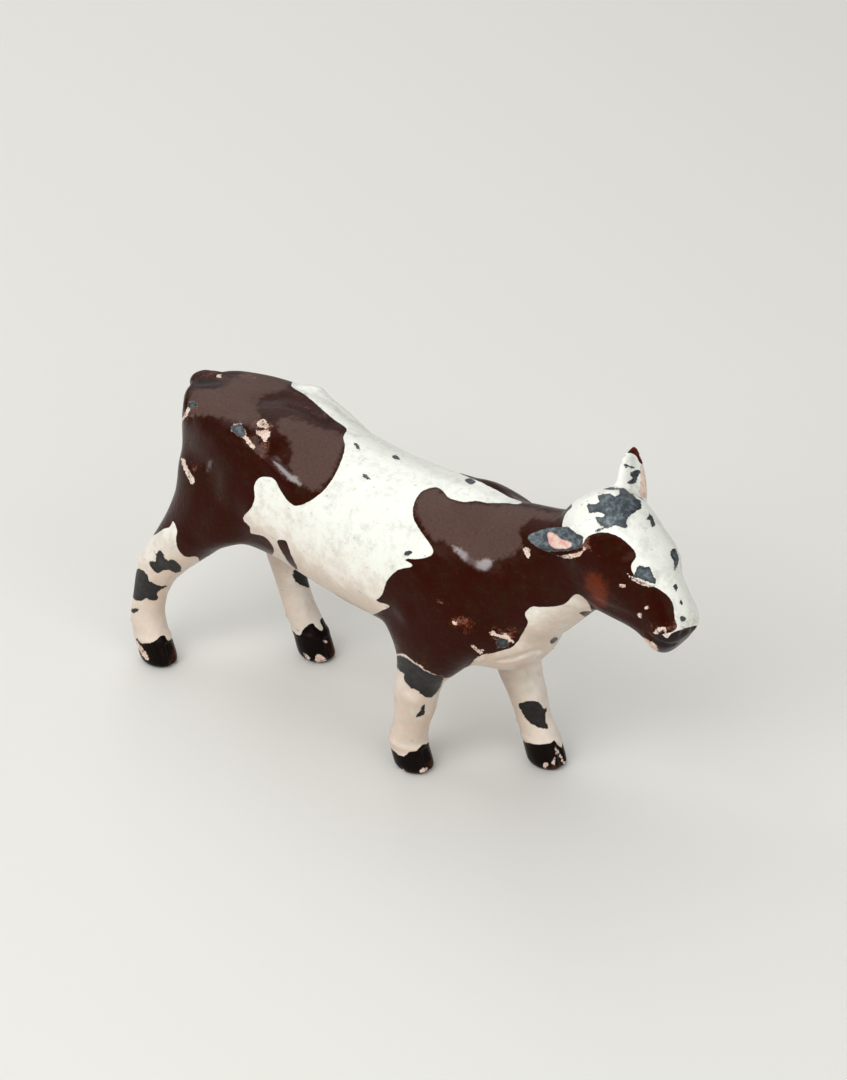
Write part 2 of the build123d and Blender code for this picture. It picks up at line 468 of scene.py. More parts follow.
@dataclass(frozen=True)
class Veil:
    """How one colour clouds another: what moves it, where it starts and ends, and its strength.

    The fields from cloud to also are weights. height is for each millimetre above the floor, fall for
    skin that faces up, and also for whatever else the veil is given.
    """

    start: float
    end: float
    share: float = 1.0
    cloud: float = 0.0
    mottle: float = 0.0
    fine: float = 0.0
    scratch: float = 0.0
    blotch: float = 0.0
    height: float = 0.0
    fall: float = 0.0
    also: float = 0.0


@dataclass(frozen=True)
class Finishes:
    """Every finish on the figure."""

    cream: Enamel = Enamel(from_srgb(238, 239, 230), from_srgb(204, 205, 194), 0.34, 0.15)
    chestnut: Enamel = Enamel(from_srgb(44, 6, 1), from_srgb(40, 18, 5), 0.3, 0.0)
    black: Enamel = Enamel(from_srgb(9, 8, 8), from_srgb(44, 36, 37), 0.34, 0.0)
    lead: Enamel = Enamel(from_srgb(68, 77, 82), from_srgb(118, 129, 135), 0.46, 0.0)
    primer: Enamel = Enamel(from_srgb(232, 209, 193), from_srgb(200, 164, 142), 0.5, 0.0)
    pale_uneven: float = 0.16
    dark_uneven: float = 0.2
    metal_share: float = 0.5
    coat_roughness: float = 0.12
    dark_glint: float = 0.11
    gloss_roughness: float = 0.16
    gloss_ior: float = 1.75
    # painted sheen, partly dusty bloom: the grey-brown of the overhead light's reflection on the
    # chestnut's upper faces
    bloom_and_sheen: Colour = from_srgb(94, 74, 68)
    bloom_and_sheen_roughness: float = 0.5
    worn_chestnut: Colour = from_srgb(96, 34, 8)
    worn_black: Colour = from_srgb(84, 50, 30)
    rubbed: Colour = from_srgb(146, 98, 82)
    flesh: Colour = from_srgb(226, 164, 158)
    # tarnish at thin chip edges, and painted shade on the lead low down
    tarnish_and_shade: Colour = from_srgb(24, 17, 10)
    # painted warm shade on the cream, low down and under the body
    rosy_shade: Colour = from_srgb(222, 200, 182)
    dun: Colour = from_srgb(196, 172, 152)
    fleck: Colour = from_srgb(128, 134, 130)
    rust: Colour = from_srgb(150, 84, 56)
    # darker colour for the skin's hollows
    hollow_dark: Colour = from_srgb(70, 58, 48)
    warm_glint: Colour = (1.0, 0.62, 0.5, 1.0)


class Paint(Enum):
    """The layers that an outline can lay on, and the mesh attribute that carries each."""

    CHESTNUT = "chestnut_edge"
    BLACK = "black_edge"
    LEAD = "lead_edge"
    PRIMER = "primer_edge"
    FLESH = "flesh_edge"
    AMBER = "amber_edge"
    # painted sheen, partly dusty bloom, on the chestnut's upper faces
    BLOOM = "bloom_edge"
    RUBBED = "rubbed_edge"
    GLOSS = "gloss_edge"


class View(Enum):
    """What an outline is drawn in."""

    PHOTO = "photo"
    LEFT = "left"
    ROUND = "round"


BODY = ("torso", "neck", "tail")
NEAR_HIND = ("hind_right_leg", "hind_right_hoof")
FAR_HIND = ("hind_left_leg", "hind_left_hoof")
NEAR_FORE = ("fore_right_leg", "fore_right_hoof")
FAR_FORE = ("fore_left_leg", "fore_left_hoof")
HEAD = ("head", "muzzle", "left_eye", "right_eye")
HOOVES = ("hind_right_hoof", "hind_left_hoof", "fore_right_hoof", "fore_left_hoof")


@dataclass(frozen=True)
class Marks:
    """Closed shapes of one paint, drawn smoothly through their corners.

    In View.PHOTO the corners are pixels of the photograph. In View.LEFT they are millimetres ahead
    and up on the calf's left side, and in View.ROUND on whatever the camera doesn't see.
    """

    paint: Paint
    members: tuple[str, ...]
    shapes: tuple[tuple[Pixel, ...], ...]
    view: View = View.PHOTO
    smooth: int = 3

    def ring(self, shape: tuple[Pixel, ...]) -> np.ndarray:
        """Rounds a shape through its corners.

        Args:
            shape: its corners.

        Returns:
            A ring of points, one a row.
        """
        rows = np.array(shape, float)
        if self.smooth < 2:
            return rows
        before, after, beyond = np.roll(rows, 1, 0), np.roll(rows, -1, 0), np.roll(rows, -2, 0)
        parts = []
        for step in range(self.smooth):
            t = step / self.smooth
            slope = (after - before) * 0.5
            bend = before - 2.5 * rows + 2 * after - 0.5 * beyond
            twist = 1.5 * (rows - after) + 0.5 * (beyond - before)
            parts.append(rows + (slope + (bend + twist * t) * t) * t)
        return np.stack(parts, 1).reshape(-1, 2)

    def depth(self, points: np.ndarray) -> np.ndarray:
        """How far inside the nearest shape points lie, less than 0 outside.

        Args:
            points: places in the shapes' own units.

        Returns:
            The distance to the nearest edge, in the same units.
        """
        result = np.full(len(points), -np.inf)
        for shape in self.shapes:
            ring = self.ring(shape)
            nearest = np.full(len(points), np.inf)
            inside = np.zeros(len(points), bool)
            for start, end in zip(ring, np.roll(ring, -1, 0)):
                nearest = np.minimum(nearest, segment_gap(points, start, end))
                if start[1] != end[1]:
                    crosses = (start[1] > points[:, 1]) != (end[1] > points[:, 1])
                    share = (points[:, 1] - start[1]) / (end[1] - start[1])
                    inside ^= crosses & (points[:, 0] < start[0] + share * (end[0] - start[0]))
            result = np.maximum(result, np.where(inside, nearest, -nearest))
        return result


# Shapes seen in the photograph
CROUP_PATCH = (
    (150, 350), (250, 345), (300, 352), (298, 372), (293, 381), (292, 387), (304, 394), (316, 404),
    (326, 413), (336, 421), (347, 429), (343, 437), (345, 448), (340, 464), (332, 480), (322, 492),
    (310, 501), (297, 506), (289, 502), (281, 491), (275, 480), (269, 477), (259, 478), (254, 487),
    (255, 497), (252, 507), (243, 518), (250, 527), (251, 533), (263, 536), (270, 542), (274, 552),
    (262, 562), (240, 560), (218, 566), (203, 572), (198, 557), (186, 557), (178, 549), (176, 539),
    (177, 530), (173, 521), (170, 527), (163, 529), (150, 534), (135, 500), (140, 420),
)
SHOULDER_PATCH = (
    (461, 474), (480, 482), (500, 492), (511, 498), (522, 502), (518, 504), (505, 503), (488, 503),
    (476, 501), (464, 502), (449, 498), (443, 491), (434, 487), (420, 493), (413, 508), (415, 522),
    (425, 537), (433, 550), (430, 556), (418, 559), (404, 559), (413, 566), (398, 570), (387, 581),
    (382, 595), (376, 601), (390, 606), (379, 612), (366, 622), (372, 655), (396, 654), (404, 654),
    (413, 661), (422, 669), (437, 675), (447, 678), (462, 672), (472, 663), (477, 658), (500, 651),
    (514, 646), (524, 631), (528, 622), (525, 614), (531, 607), (541, 607), (563, 605), (576, 594),
    (587, 601), (592, 611), (598, 622), (620, 634), (640, 642), (648, 645), (652, 642), (656, 637),
    (664, 634), (672, 632), (677, 627), (675, 620), (674, 610), (672, 602), (666, 594), (655, 587),
    (637, 579), (631, 566), (636, 557),
    (633, 549), (621, 538), (609, 533), (597, 533), (587, 537), (582, 546), (574, 549), (566, 541),
    (562, 528), (565, 514), (572, 502), (548, 478), (500, 455), (462, 458), (452, 466),
)
STIFLE_WEDGE = ((277, 541), (286, 541), (290, 552), (298, 570), (289, 563), (282, 552))
CHEST_MARKS = (
    ((579, 613), (586, 611), (593, 613), (587, 617)),
    ((550, 641), (555, 637), (558, 639), (552, 644)),
)
# Painted shadow in the crease under the tail head, laid in black
TAIL_HEAD_SHADOW = (
    (192, 384), (197, 379), (206, 378), (213, 381), (221, 382), (218, 387), (206, 386), (197, 388),
)
EAR_UNDERSIDE = ((518, 542), (538, 547), (560, 549), (576, 547), (594, 542), (596, 568), (518, 568))
FAR_EAR_TIP = (
    (626, 452), (634, 444), (644, 447), (652, 468), (646, 466), (640, 463), (636, 456), (631, 453),
)

MUZZLE_BLACK = (
    (653, 641), (655, 635), (661, 634), (667, 638), (672, 633), (681, 630), (690, 627), (706, 626),
    (704, 646), (690, 660), (664, 664), (650, 656),
)
NEAR_HIND_BLACK = (
    (134, 641), (141, 643), (150, 643), (156, 640), (161, 636), (165, 636), (169, 641), (182, 636),
    (190, 685), (118, 685),
)
FAR_HIND_BLACK = (
    (288, 632), (297, 635), (301, 635), (303, 630), (308, 625), (313, 623), (316, 627), (321, 631),
    (323, 629), (320, 620), (330, 617), (348, 640), (346, 680), (286, 680),
)
NEAR_FORE_BLACK = (
    (380, 742), (389, 746), (394, 751), (399, 755), (404, 756), (409, 752), (416, 751), (421, 746),
    (426, 744), (446, 740), (444, 792), (374, 792),
)
FAR_FORE_BLACK = (
    (516, 739), (525, 742), (534, 744), (545, 744), (551, 743), (554, 740), (558, 745), (562, 748),
    (564, 739), (580, 736), (582, 792), (520, 792),
)

POLL_CHIPS = (
    (
        (598, 497), (604, 494), (610, 493), (614, 496), (619, 494), (620, 489), (624, 488), (628, 491),
        (633, 494), (636, 498), (641, 501), (641, 508), (636, 511), (630, 516), (627, 520), (627, 527),
        (620, 527), (616, 525), (608, 528), (602, 526), (597, 521), (596, 517), (603, 517), (604, 514),
        (597, 512), (590, 513), (587, 508), (588, 504), (594, 504), (599, 502),
    ),
    ((603, 489), (611, 487), (621, 489), (612, 490)),
    ((589, 533), (597, 530), (608, 527), (601, 530)),
    ((644, 519), (648, 517), (650, 513), (653, 518), (655, 525), (652, 527), (650, 521)),
)
NOSE_CHIPS = (
    ((671, 551), (675, 549), (677, 553), (679, 560), (677, 567), (674, 571), (674, 562), (671, 557)),
    ((673, 587), (676, 584), (678, 588), (676, 592), (675, 588)),
    ((679, 602), (681, 600), (683, 604), (681, 606)),
    ((680, 618), (684, 616), (686, 620), (682, 621)),
)
EYE_CHIP = (
    (635, 573), (639, 566), (645, 567), (650, 567), (652, 573), (656, 580), (656, 584), (648, 582),
    (641, 579), (635, 577),
)
NEAR_EAR_LEAD = (
    (520, 537), (523, 528), (531, 523), (541, 519), (551, 522), (557, 525), (566, 526), (575, 532),
    (585, 539), (586, 546), (576, 549), (566, 551), (548, 551), (536, 550), (526, 546),
)
FAR_EAR_CHIPS = (
    ((630, 474), (634, 471), (640, 470), (638, 477), (636, 483), (630, 484), (627, 482), (633, 479)),
    ((624, 465), (627, 463), (628, 467), (625, 468)),
    ((629, 466), (634, 467), (635, 469), (631, 468)),
)
CROUP_CHIPS = (
    ((231, 429), (235, 425), (240, 424), (244, 429), (245, 435), (241, 437), (236, 434)),
    ((188, 404), (193, 401), (198, 405), (194, 407), (190, 408)),
)
HIND_CHIPS = (
    (
        (153, 548), (157, 554), (160, 550), (164, 556), (168, 561), (174, 560), (180, 565), (181, 570),
        (176, 573), (168, 570), (162, 571), (157, 573), (151, 567), (149, 562), (155, 561), (156, 557),
    ),
    (
        (134, 572), (140, 569), (147, 575), (149, 581), (153, 583), (158, 586), (167, 586), (160, 590),
        (157, 593), (157, 599), (151, 601), (146, 598), (140, 601), (133, 597),
    ),
    ((131, 610), (137, 608), (138, 611), (133, 613)),
)
FAR_HIND_CHIPS = (
    ((293, 571), (297, 569), (303, 573), (309, 580), (310, 587), (303, 586), (298, 583), (294, 580)),
)
FORE_CHIPS = (
    (
        (397, 656), (404, 657), (411, 661), (417, 665), (425, 671), (434, 675), (443, 677), (441, 685),
        (437, 692), (431, 697), (424, 696), (416, 690), (409, 687), (405, 680), (403, 673), (398, 669),
    ),
    ((424, 704), (425, 711), (423, 715), (416, 717), (420, 711)),
    ((390, 694), (394, 699), (394, 702), (390, 700)),
)
FAR_FORE_CHIP = (
    (518, 705), (524, 702), (533, 701), (540, 703), (544, 709), (548, 707), (545, 715), (546, 722),
    (548, 728), (540, 728), (532, 724), (525, 717),
)
BARREL_CHIPS = (
    ((392, 457), (396, 455), (400, 459), (397, 460)),
    ((362, 475), (366, 475), (371, 480), (367, 480)),
    ((465, 480), (470, 478), (476, 482), (470, 484)),
    ((354, 443), (358, 445), (361, 451), (358, 450)),
    ((402, 554), (408, 551), (413, 552), (407, 556)),
    ((496, 641), (500, 638), (507, 640), (508, 646), (502, 648), (497, 646)),
)

EAR_FLESH = (
    (547, 534), (552, 532), (557, 535), (563, 540), (571, 542), (570, 548), (558, 549), (550, 545),
)
CROUP_PRIMER = (
    ((241, 435), (246, 435), (251, 441), (255, 447), (253, 449), (247, 444)),
    ((257, 422), (262, 419), (267, 421), (269, 427), (264, 428), (258, 427)),
    ((256, 431), (264, 430), (270, 431), (270, 435), (267, 441), (263, 442), (261, 437), (256, 434)),
    ((181, 458), (185, 459), (188, 468), (192, 475), (195, 480), (192, 485), (188, 479), (184, 470)),
    ((178, 424), (184, 414), (188, 407), (191, 409), (186, 418)),
    ((217, 375), (222, 374), (221, 378), (217, 377)),
)
SHOULDER_PRIMER = (
    (
        (488, 634), (493, 630), (496, 633), (503, 635), (505, 632), (510, 638), (514, 640), (514, 645),
        (509, 641), (503, 640), (497, 637), (492, 636),
    ),
    ((471, 646), (475, 644), (478, 649), (484, 650), (480, 655), (476, 651)),
    ((474, 660), (482, 655), (493, 653), (486, 657), (478, 662)),
    ((452, 621), (456, 622), (458, 625), (454, 625)),
    ((523, 549), (529, 548), (530, 556), (526, 557)),
)
HEAD_PRIMER = (
    ((636, 632), (641, 636), (648, 640), (654, 643), (658, 651), (650, 653), (641, 644)),
    ((653, 632), (658, 627), (665, 627), (667, 631), (662, 631), (657, 635)),
    ((662, 633), (668, 633), (669, 637), (665, 637)),
    ((619, 585), (625, 584), (626, 587), (622, 588)),
    ((645, 607), (648, 606), (649, 609), (646, 610)),
    ((637, 614), (641, 613), (641, 618), (638, 617)),
    ((626, 570), (632, 576), (644, 582), (656, 587), (645, 586), (632, 580)),
    ((572, 550), (580, 546), (586, 548), (582, 554), (574, 556)),
)
EAR_PRIMER = (
    (534, 552), (545, 555), (558, 556), (572, 554), (586, 549), (588, 553), (573, 558), (558, 560),
    (543, 558),
)
# Painted pinkish shade on the far ear's right side, laid as primer
FAR_EAR_PINK_SHADE = ((641, 466), (652, 466), (654, 492), (640, 498), (641, 480))
HOOF_PRIMER = (
    ((133, 637), (139, 643), (145, 651), (149, 658), (146, 660), (139, 651)),
    ((302, 652), (307, 654), (311, 659), (307, 659)),
    ((316, 655), (322, 655), (326, 659), (331, 661), (324, 663), (315, 661)),
    ((322, 641), (327, 640), (326, 643)),
    ((393, 767), (399, 767), (405, 771), (401, 774), (396, 771)),
    ((419, 770), (426, 767), (428, 770), (422, 773)),
    ((401, 774), (410, 774), (419, 774), (410, 776)),
    ((555, 747), (558, 750), (566, 763), (563, 764), (557, 754), (555, 764), (552, 763), (555, 756)),
    ((544, 763), (549, 763), (547, 767), (545, 770), (543, 767)),
)
AMBER_CHEEK = (
    (
        (584, 572), (592, 570), (601, 572), (606, 580), (609, 590), (610, 604), (602, 609), (593, 605),
        (586, 592),
    ),
)
AMBER_SHOULDER = (
    ((449, 622), (454, 618), (461, 622), (467, 618), (472, 624), (466, 631), (459, 627), (452, 627)),
    ((508, 632), (517, 630), (512, 638)),
)
AMBER_HOOVES = (
    ((170, 640), (182, 640), (184, 668), (168, 668), (172, 656)),
    ((328, 640), (342, 640), (342, 664), (330, 660), (331, 650)),
    ((426, 748), (440, 748), (440, 770), (428, 768), (430, 758)),
    ((546, 766), (568, 764), (570, 778), (546, 778)),
    ((386, 768), (410, 773), (436, 768), (436, 784), (386, 784)),
)
# Painted sheen, partly dusty bloom, where the croup's upper faces catch the overhead light
CROUP_BLOOM_AND_SHEEN = (
    (
        (196, 389), (222, 388), (232, 377), (258, 370), (296, 372), (290, 386), (276, 392), (262, 398),
        (258, 408), (262, 418), (254, 430), (246, 426), (236, 421), (222, 419), (204, 416), (186, 417),
        (188, 404),
    ),
    (
        (276, 420), (296, 417), (318, 426), (342, 434), (343, 448), (338, 464), (330, 479), (318, 491),
        (306, 490), (292, 476), (288, 466), (292, 452), (288, 440), (278, 432),
    ),
    ((250, 436), (258, 440), (266, 450), (270, 460), (262, 456), (252, 446)),
)
# Painted sheen, partly dusty bloom, where the shoulder's upper faces catch the overhead light
SHOULDER_BLOOM_AND_SHEEN = (
    (
        (420, 494), (433, 488), (442, 492), (449, 499), (464, 503), (500, 504), (524, 506), (546, 510),
        (564, 515), (562, 524), (544, 520), (528, 522), (521, 532), (522, 546), (512, 556), (496, 561),
        (482, 568), (466, 560), (448, 544), (434, 540), (424, 530), (416, 516), (414, 506),
    ),
)
GLOSS_STREAKS = (
    ((271, 456), (276, 456), (284, 464), (293, 473), (303, 484), (298, 486), (287, 478), (277, 468)),
    ((452, 545), (462, 549), (474, 560), (490, 558), (494, 562), (484, 572), (470, 566), (458, 556)),
    ((205, 470), (209, 461), (212, 460), (209, 470), (206, 474)),
)
CROUP_RUBS = (
    ((256, 418), (274, 419), (276, 428), (270, 440), (270, 456), (262, 460), (258, 446), (256, 432)),
    ((198, 371), (224, 371), (226, 378), (214, 379), (200, 376)),
    ((240, 374), (258, 374), (256, 379), (242, 379)),
    ((190, 460), (199, 461), (200, 470), (193, 472)),
    ((176, 410), (198, 404), (196, 414), (180, 426)),
    ((304, 406), (320, 410), (330, 418), (318, 416)),
)
SHOULDER_RUBS = (
    ((452, 618), (470, 616), (472, 630), (458, 630)),
    ((492, 630), (516, 630), (514, 648), (496, 648)),
    ((434, 600), (441, 597), (443, 604), (437, 608)),
)
HEAD_RUBS = (
    ((630, 560), (640, 560), (640, 568), (632, 574)),
    ((650, 624), (682, 622), (682, 634), (652, 636)),
    ((572, 540), (592, 534), (592, 552), (574, 556)),
)

# Shapes on the calf's left side, in millimetres ahead and up
LEFT_CROUP_PATCH = (
    (-30, 30), (-10, 30), (-9.6, 25), (-8.2, 22.5), (-7.8, 20), (-9.2, 17.8), (-12.2, 16.8),
    (-13.2, 14.5), (-11.4, 12.6), (-13, 11.2), (-16.5, 11.8), (-18.6, 9.4), (-22, 9), (-30, 8),
)
LEFT_SHOULDER_PATCH = (
    (3.2, 30), (3.4, 25), (1.8, 22.6), (2.6, 19.5), (1.2, 17.2), (3.4, 14.6), (5.2, 11.2), (9, 9.2),
    (12.5, 9.6), (14.6, 12.8), (15.4, 15.8), (17.6, 18.2), (21.6, 18.0), (23.8, 18.6), (25, 20.2),
    (23.4, 22.6), (21.2, 24.4), (18.6, 25.2), (17.2, 24), (16.6, 27), (14, 30),
)
LEFT_BODY_CHIPS = (
    ((-14.6, 24.2), (-13.6, 24.4), (-12.6, 23.8), (-12.4, 22.8), (-13.8, 22.2), (-15, 23)),
    ((-4.2, 18.6), (-3.2, 19), (-2.8, 18.2), (-3.8, 17.8)),
    ((6.6, 17.2), (7.3, 18), (8, 17.6), (8.8, 16.6), (7.9, 16.4), (7.2, 15.6)),
)
LEFT_LEG_CHIPS = (
    ((-16.8, 9.4), (-15.8, 10.2), (-14.6, 9.6), (-14.4, 8), (-15.6, 7), (-17.4, 8)),
    ((9.2, 8.2), (10.4, 8.8), (11.5, 8.2), (11.4, 6.8), (10.2, 6)),
)
LEFT_SHANK_CHIP = ((-20.2, 3.8), (-18.4, 4.4), (-18.6, 2.8))
LEFT_HEAD_CHIPS = (
    ((17.4, 27.6), (18.3, 28.5), (19.4, 28.2), (20.2, 27), (19.2, 26.8), (18.4, 26)),
)
LEFT_EYE = ((22.2, 24.2), (22.8, 24.9), (23.7, 24.8), (24.0, 24.2), (23.3, 23.7), (22.5, 23.7))
LEFT_PRIMER = (
    ((-20.6, 21.6), (-19.9, 22.2), (-19.5, 21.4), (-19.9, 20.2), (-20.3, 20.8)),
    ((-12.8, 24.2), (-11.9, 24.2), (-11.5, 23.2), (-12.3, 22.6)),
)
LEFT_MUZZLE = ((23.6, 17.6), (24.4, 19.6), (25.4, 21.2), (27.5, 21.4), (28, 17))
# Painted sheen, partly dusty bloom, on the upper faces of the left side
LEFT_BLOOM_AND_SHEEN = (
    ((-24, 24), (-23, 26), (-12, 26), (-12.6, 24.2), (-18, 23.4)),
    ((3.6, 26), (14, 27), (13, 23.4), (5, 22.8)),
)
HOOF_BAND = ((-40, -3), (40, -3), (40, 2.5), (-40, 2.5))

LEGS = NEAR_HIND + FAR_HIND + NEAR_FORE + FAR_FORE
MARKS = (
    Marks(Paint.CHESTNUT, BODY + NEAR_HIND, (CROUP_PATCH,)),
    Marks(Paint.GLOSS, BODY + NEAR_HIND + NEAR_FORE, GLOSS_STREAKS),
    Marks(Paint.CHESTNUT, BODY + NEAR_FORE + HEAD, (SHOULDER_PATCH,)),
    Marks(Paint.CHESTNUT, BODY + FAR_HIND, (STIFLE_WEDGE,)),
    Marks(Paint.CHESTNUT, BODY + HEAD, CHEST_MARKS),
    Marks(Paint.CHESTNUT, ("right_ear",), (EAR_UNDERSIDE,)),
    Marks(Paint.CHESTNUT, ("left_ear",), (FAR_EAR_TIP,)),
    Marks(Paint.AMBER, ("left_ear",), (FAR_EAR_TIP,)),
    Marks(Paint.BLACK, HEAD, (MUZZLE_BLACK,)),
    # painted shadow under the tail head
    Marks(Paint.BLACK, BODY, (TAIL_HEAD_SHADOW,)),
    Marks(Paint.BLACK, NEAR_HIND, (NEAR_HIND_BLACK,)),
    Marks(Paint.BLACK, FAR_HIND, (FAR_HIND_BLACK,)),
    Marks(Paint.BLACK, NEAR_FORE, (NEAR_FORE_BLACK,)),
    Marks(Paint.BLACK, FAR_FORE, (FAR_FORE_BLACK,)),
    Marks(Paint.LEAD, HEAD, (*POLL_CHIPS, *NOSE_CHIPS, EYE_CHIP)),
    Marks(Paint.LEAD, ("right_ear",), (NEAR_EAR_LEAD,)),
    Marks(Paint.LEAD, ("left_ear",), FAR_EAR_CHIPS),
    Marks(Paint.LEAD, BODY + NEAR_HIND, (*CROUP_CHIPS, *BARREL_CHIPS)),
    Marks(Paint.LEAD, NEAR_HIND, HIND_CHIPS),
    Marks(Paint.LEAD, FAR_HIND, FAR_HIND_CHIPS),
    Marks(Paint.LEAD, NEAR_FORE, FORE_CHIPS),
    Marks(Paint.LEAD, FAR_FORE, (FAR_FORE_CHIP,)),
    Marks(Paint.FLESH, ("right_ear",), (EAR_FLESH,)),
    Marks(Paint.PRIMER, BODY + NEAR_HIND, CROUP_PRIMER),
    Marks(Paint.PRIMER, BODY + NEAR_FORE, SHOULDER_PRIMER),
    Marks(Paint.PRIMER, BODY + HEAD, HEAD_PRIMER),
    Marks(Paint.PRIMER, ("right_ear",), (EAR_PRIMER,)),
    # painted pinkish shade on the far ear
    Marks(Paint.PRIMER, ("left_ear",), (FAR_EAR_PINK_SHADE,)),
    Marks(Paint.PRIMER, HOOVES, HOOF_PRIMER),
    Marks(Paint.AMBER, BODY + HEAD, AMBER_CHEEK),
    Marks(Paint.AMBER, BODY + NEAR_FORE, AMBER_SHOULDER),
    Marks(Paint.AMBER, HOOVES, AMBER_HOOVES),
    # painted sheen, partly dusty bloom
    Marks(Paint.BLOOM, BODY + NEAR_HIND, CROUP_BLOOM_AND_SHEEN),
    Marks(Paint.BLOOM, BODY + NEAR_FORE, SHOULDER_BLOOM_AND_SHEEN),
    Marks(Paint.RUBBED, BODY + NEAR_HIND, CROUP_RUBS),
    Marks(Paint.RUBBED, BODY + NEAR_FORE, SHOULDER_RUBS),
    Marks(Paint.RUBBED, BODY + HEAD + ("right_ear",), HEAD_RUBS),
    Marks(Paint.CHESTNUT, BODY + FAR_HIND, (LEFT_CROUP_PATCH,), View.LEFT),
    Marks(Paint.CHESTNUT, BODY + FAR_FORE + HEAD, (LEFT_SHOULDER_PATCH,), View.LEFT),
    Marks(Paint.LEAD, BODY + FAR_HIND + FAR_FORE, LEFT_BODY_CHIPS + LEFT_LEG_CHIPS, View.LEFT),
    Marks(Paint.LEAD, NEAR_HIND, (LEFT_SHANK_CHIP,), View.LEFT),
    Marks(Paint.LEAD, HEAD, LEFT_HEAD_CHIPS, View.LEFT),
    Marks(Paint.PRIMER, BODY + FAR_HIND, LEFT_PRIMER, View.LEFT),
    Marks(Paint.BLACK, HEAD, (LEFT_MUZZLE, LEFT_EYE), View.LEFT),
    # painted sheen, partly dusty bloom, on the left side
    Marks(Paint.BLOOM, BODY + FAR_HIND + FAR_FORE, LEFT_BLOOM_AND_SHEEN, View.LEFT),
    Marks(Paint.BLACK, LEGS, (HOOF_BAND,), View.ROUND, 1),
)


@dataclass(frozen=True)
class Stroke:
    """A form worked into the skin along a line of photograph pixels: raised above 0, sunk below.

    Its radius and height are in millimetres.
    """

    line: tuple[Pixel, ...]
    radius: float
    height: float
    both_sides: bool = True


STROKES = (
    # croup, hips and thigh
    Stroke(((238, 427),), 1.6, 0.30),
    Stroke(((243, 434), (257, 447), (272, 462), (288, 481)), 1.15, 0.24),
    Stroke(((281, 449),), 1.2, -0.15),
    Stroke(((264, 400), (286, 399), (312, 407), (334, 420)), 1.4, -0.16, False),
    Stroke(((232, 398),), 3.4, 0.16),
    Stroke(((186, 414),), 1.4, 0.18),
    Stroke(((194, 382), (190, 390), (189, 398)), 1.1, 0.24, False),
    Stroke(((216, 374),), 0.9, 0.16, False),
    Stroke(((204, 374),), 1.5, 0.16, False),
    Stroke(((200, 384), (212, 384)), 0.9, -0.14, False),
    Stroke(((226, 452), (214, 480), (204, 510), (192, 534)), 1.6, -0.12),
    Stroke(((206, 468),), 0.7, -0.10),
    Stroke(((258, 520), (250, 505)), 1.8, 0.14),
    # back
    Stroke(((330, 417), (365, 432), (420, 455), (470, 476), (510, 497)), 1.1, 0.07, False),
    # shoulder and elbow
    Stroke(((450, 512), (466, 540), (480, 566)), 2.0, 0.20),
    Stroke(((428, 566), (448, 588)), 1.4, -0.12),
    Stroke(((494, 592),), 2.2, 0.18),
    Stroke(((404, 612),), 1.5, 0.18),
    Stroke(((500, 661), (512, 659), (524, 655), (534, 651), (541, 651)), 0.45, -0.14, False),
    # knees and hocks
    Stroke(((414, 700),), 1.2, 0.12, False),
    Stroke(((533, 706),), 1.2, 0.12, False),
    Stroke(((141, 558),), 1.1, 0.16, False),
    Stroke(((160, 566), (156, 590)), 0.9, -0.08, False),
    # head
    Stroke(((612, 580),), 2.7, 0.24),
    Stroke(((598, 603), (618, 612), (640, 622)), 0.8, -0.08),
    Stroke(((628, 564), (637, 559), (648, 561), (655, 569)), 0.75, 0.15),
    Stroke(((635, 567), (642, 563), (650, 568), (655, 579)), 0.28, 0.09),
    Stroke(((635, 572), (643, 580), (653, 585)), 0.28, 0.10),
    Stroke(((612, 498),), 2.1, 0.22, False),
    Stroke(((630, 464), (632, 482)), 1.7, 0.2, False),
    Stroke(((654, 548),), 1.8, -0.10, False),
    Stroke(((665, 566), (680, 592), (691, 615)), 0.9, 0.08, False),
    Stroke(((648, 635), (657, 642), (668, 645), (681, 644)), 0.36, -0.13),
    Stroke(((683, 633), (687, 630)), 0.42, -0.16),
    Stroke(((679, 630), (684, 626), (690, 628)), 0.36, 0.09),
    Stroke(((576, 600), (590, 606)), 0.9, -0.10),
)


# The casting


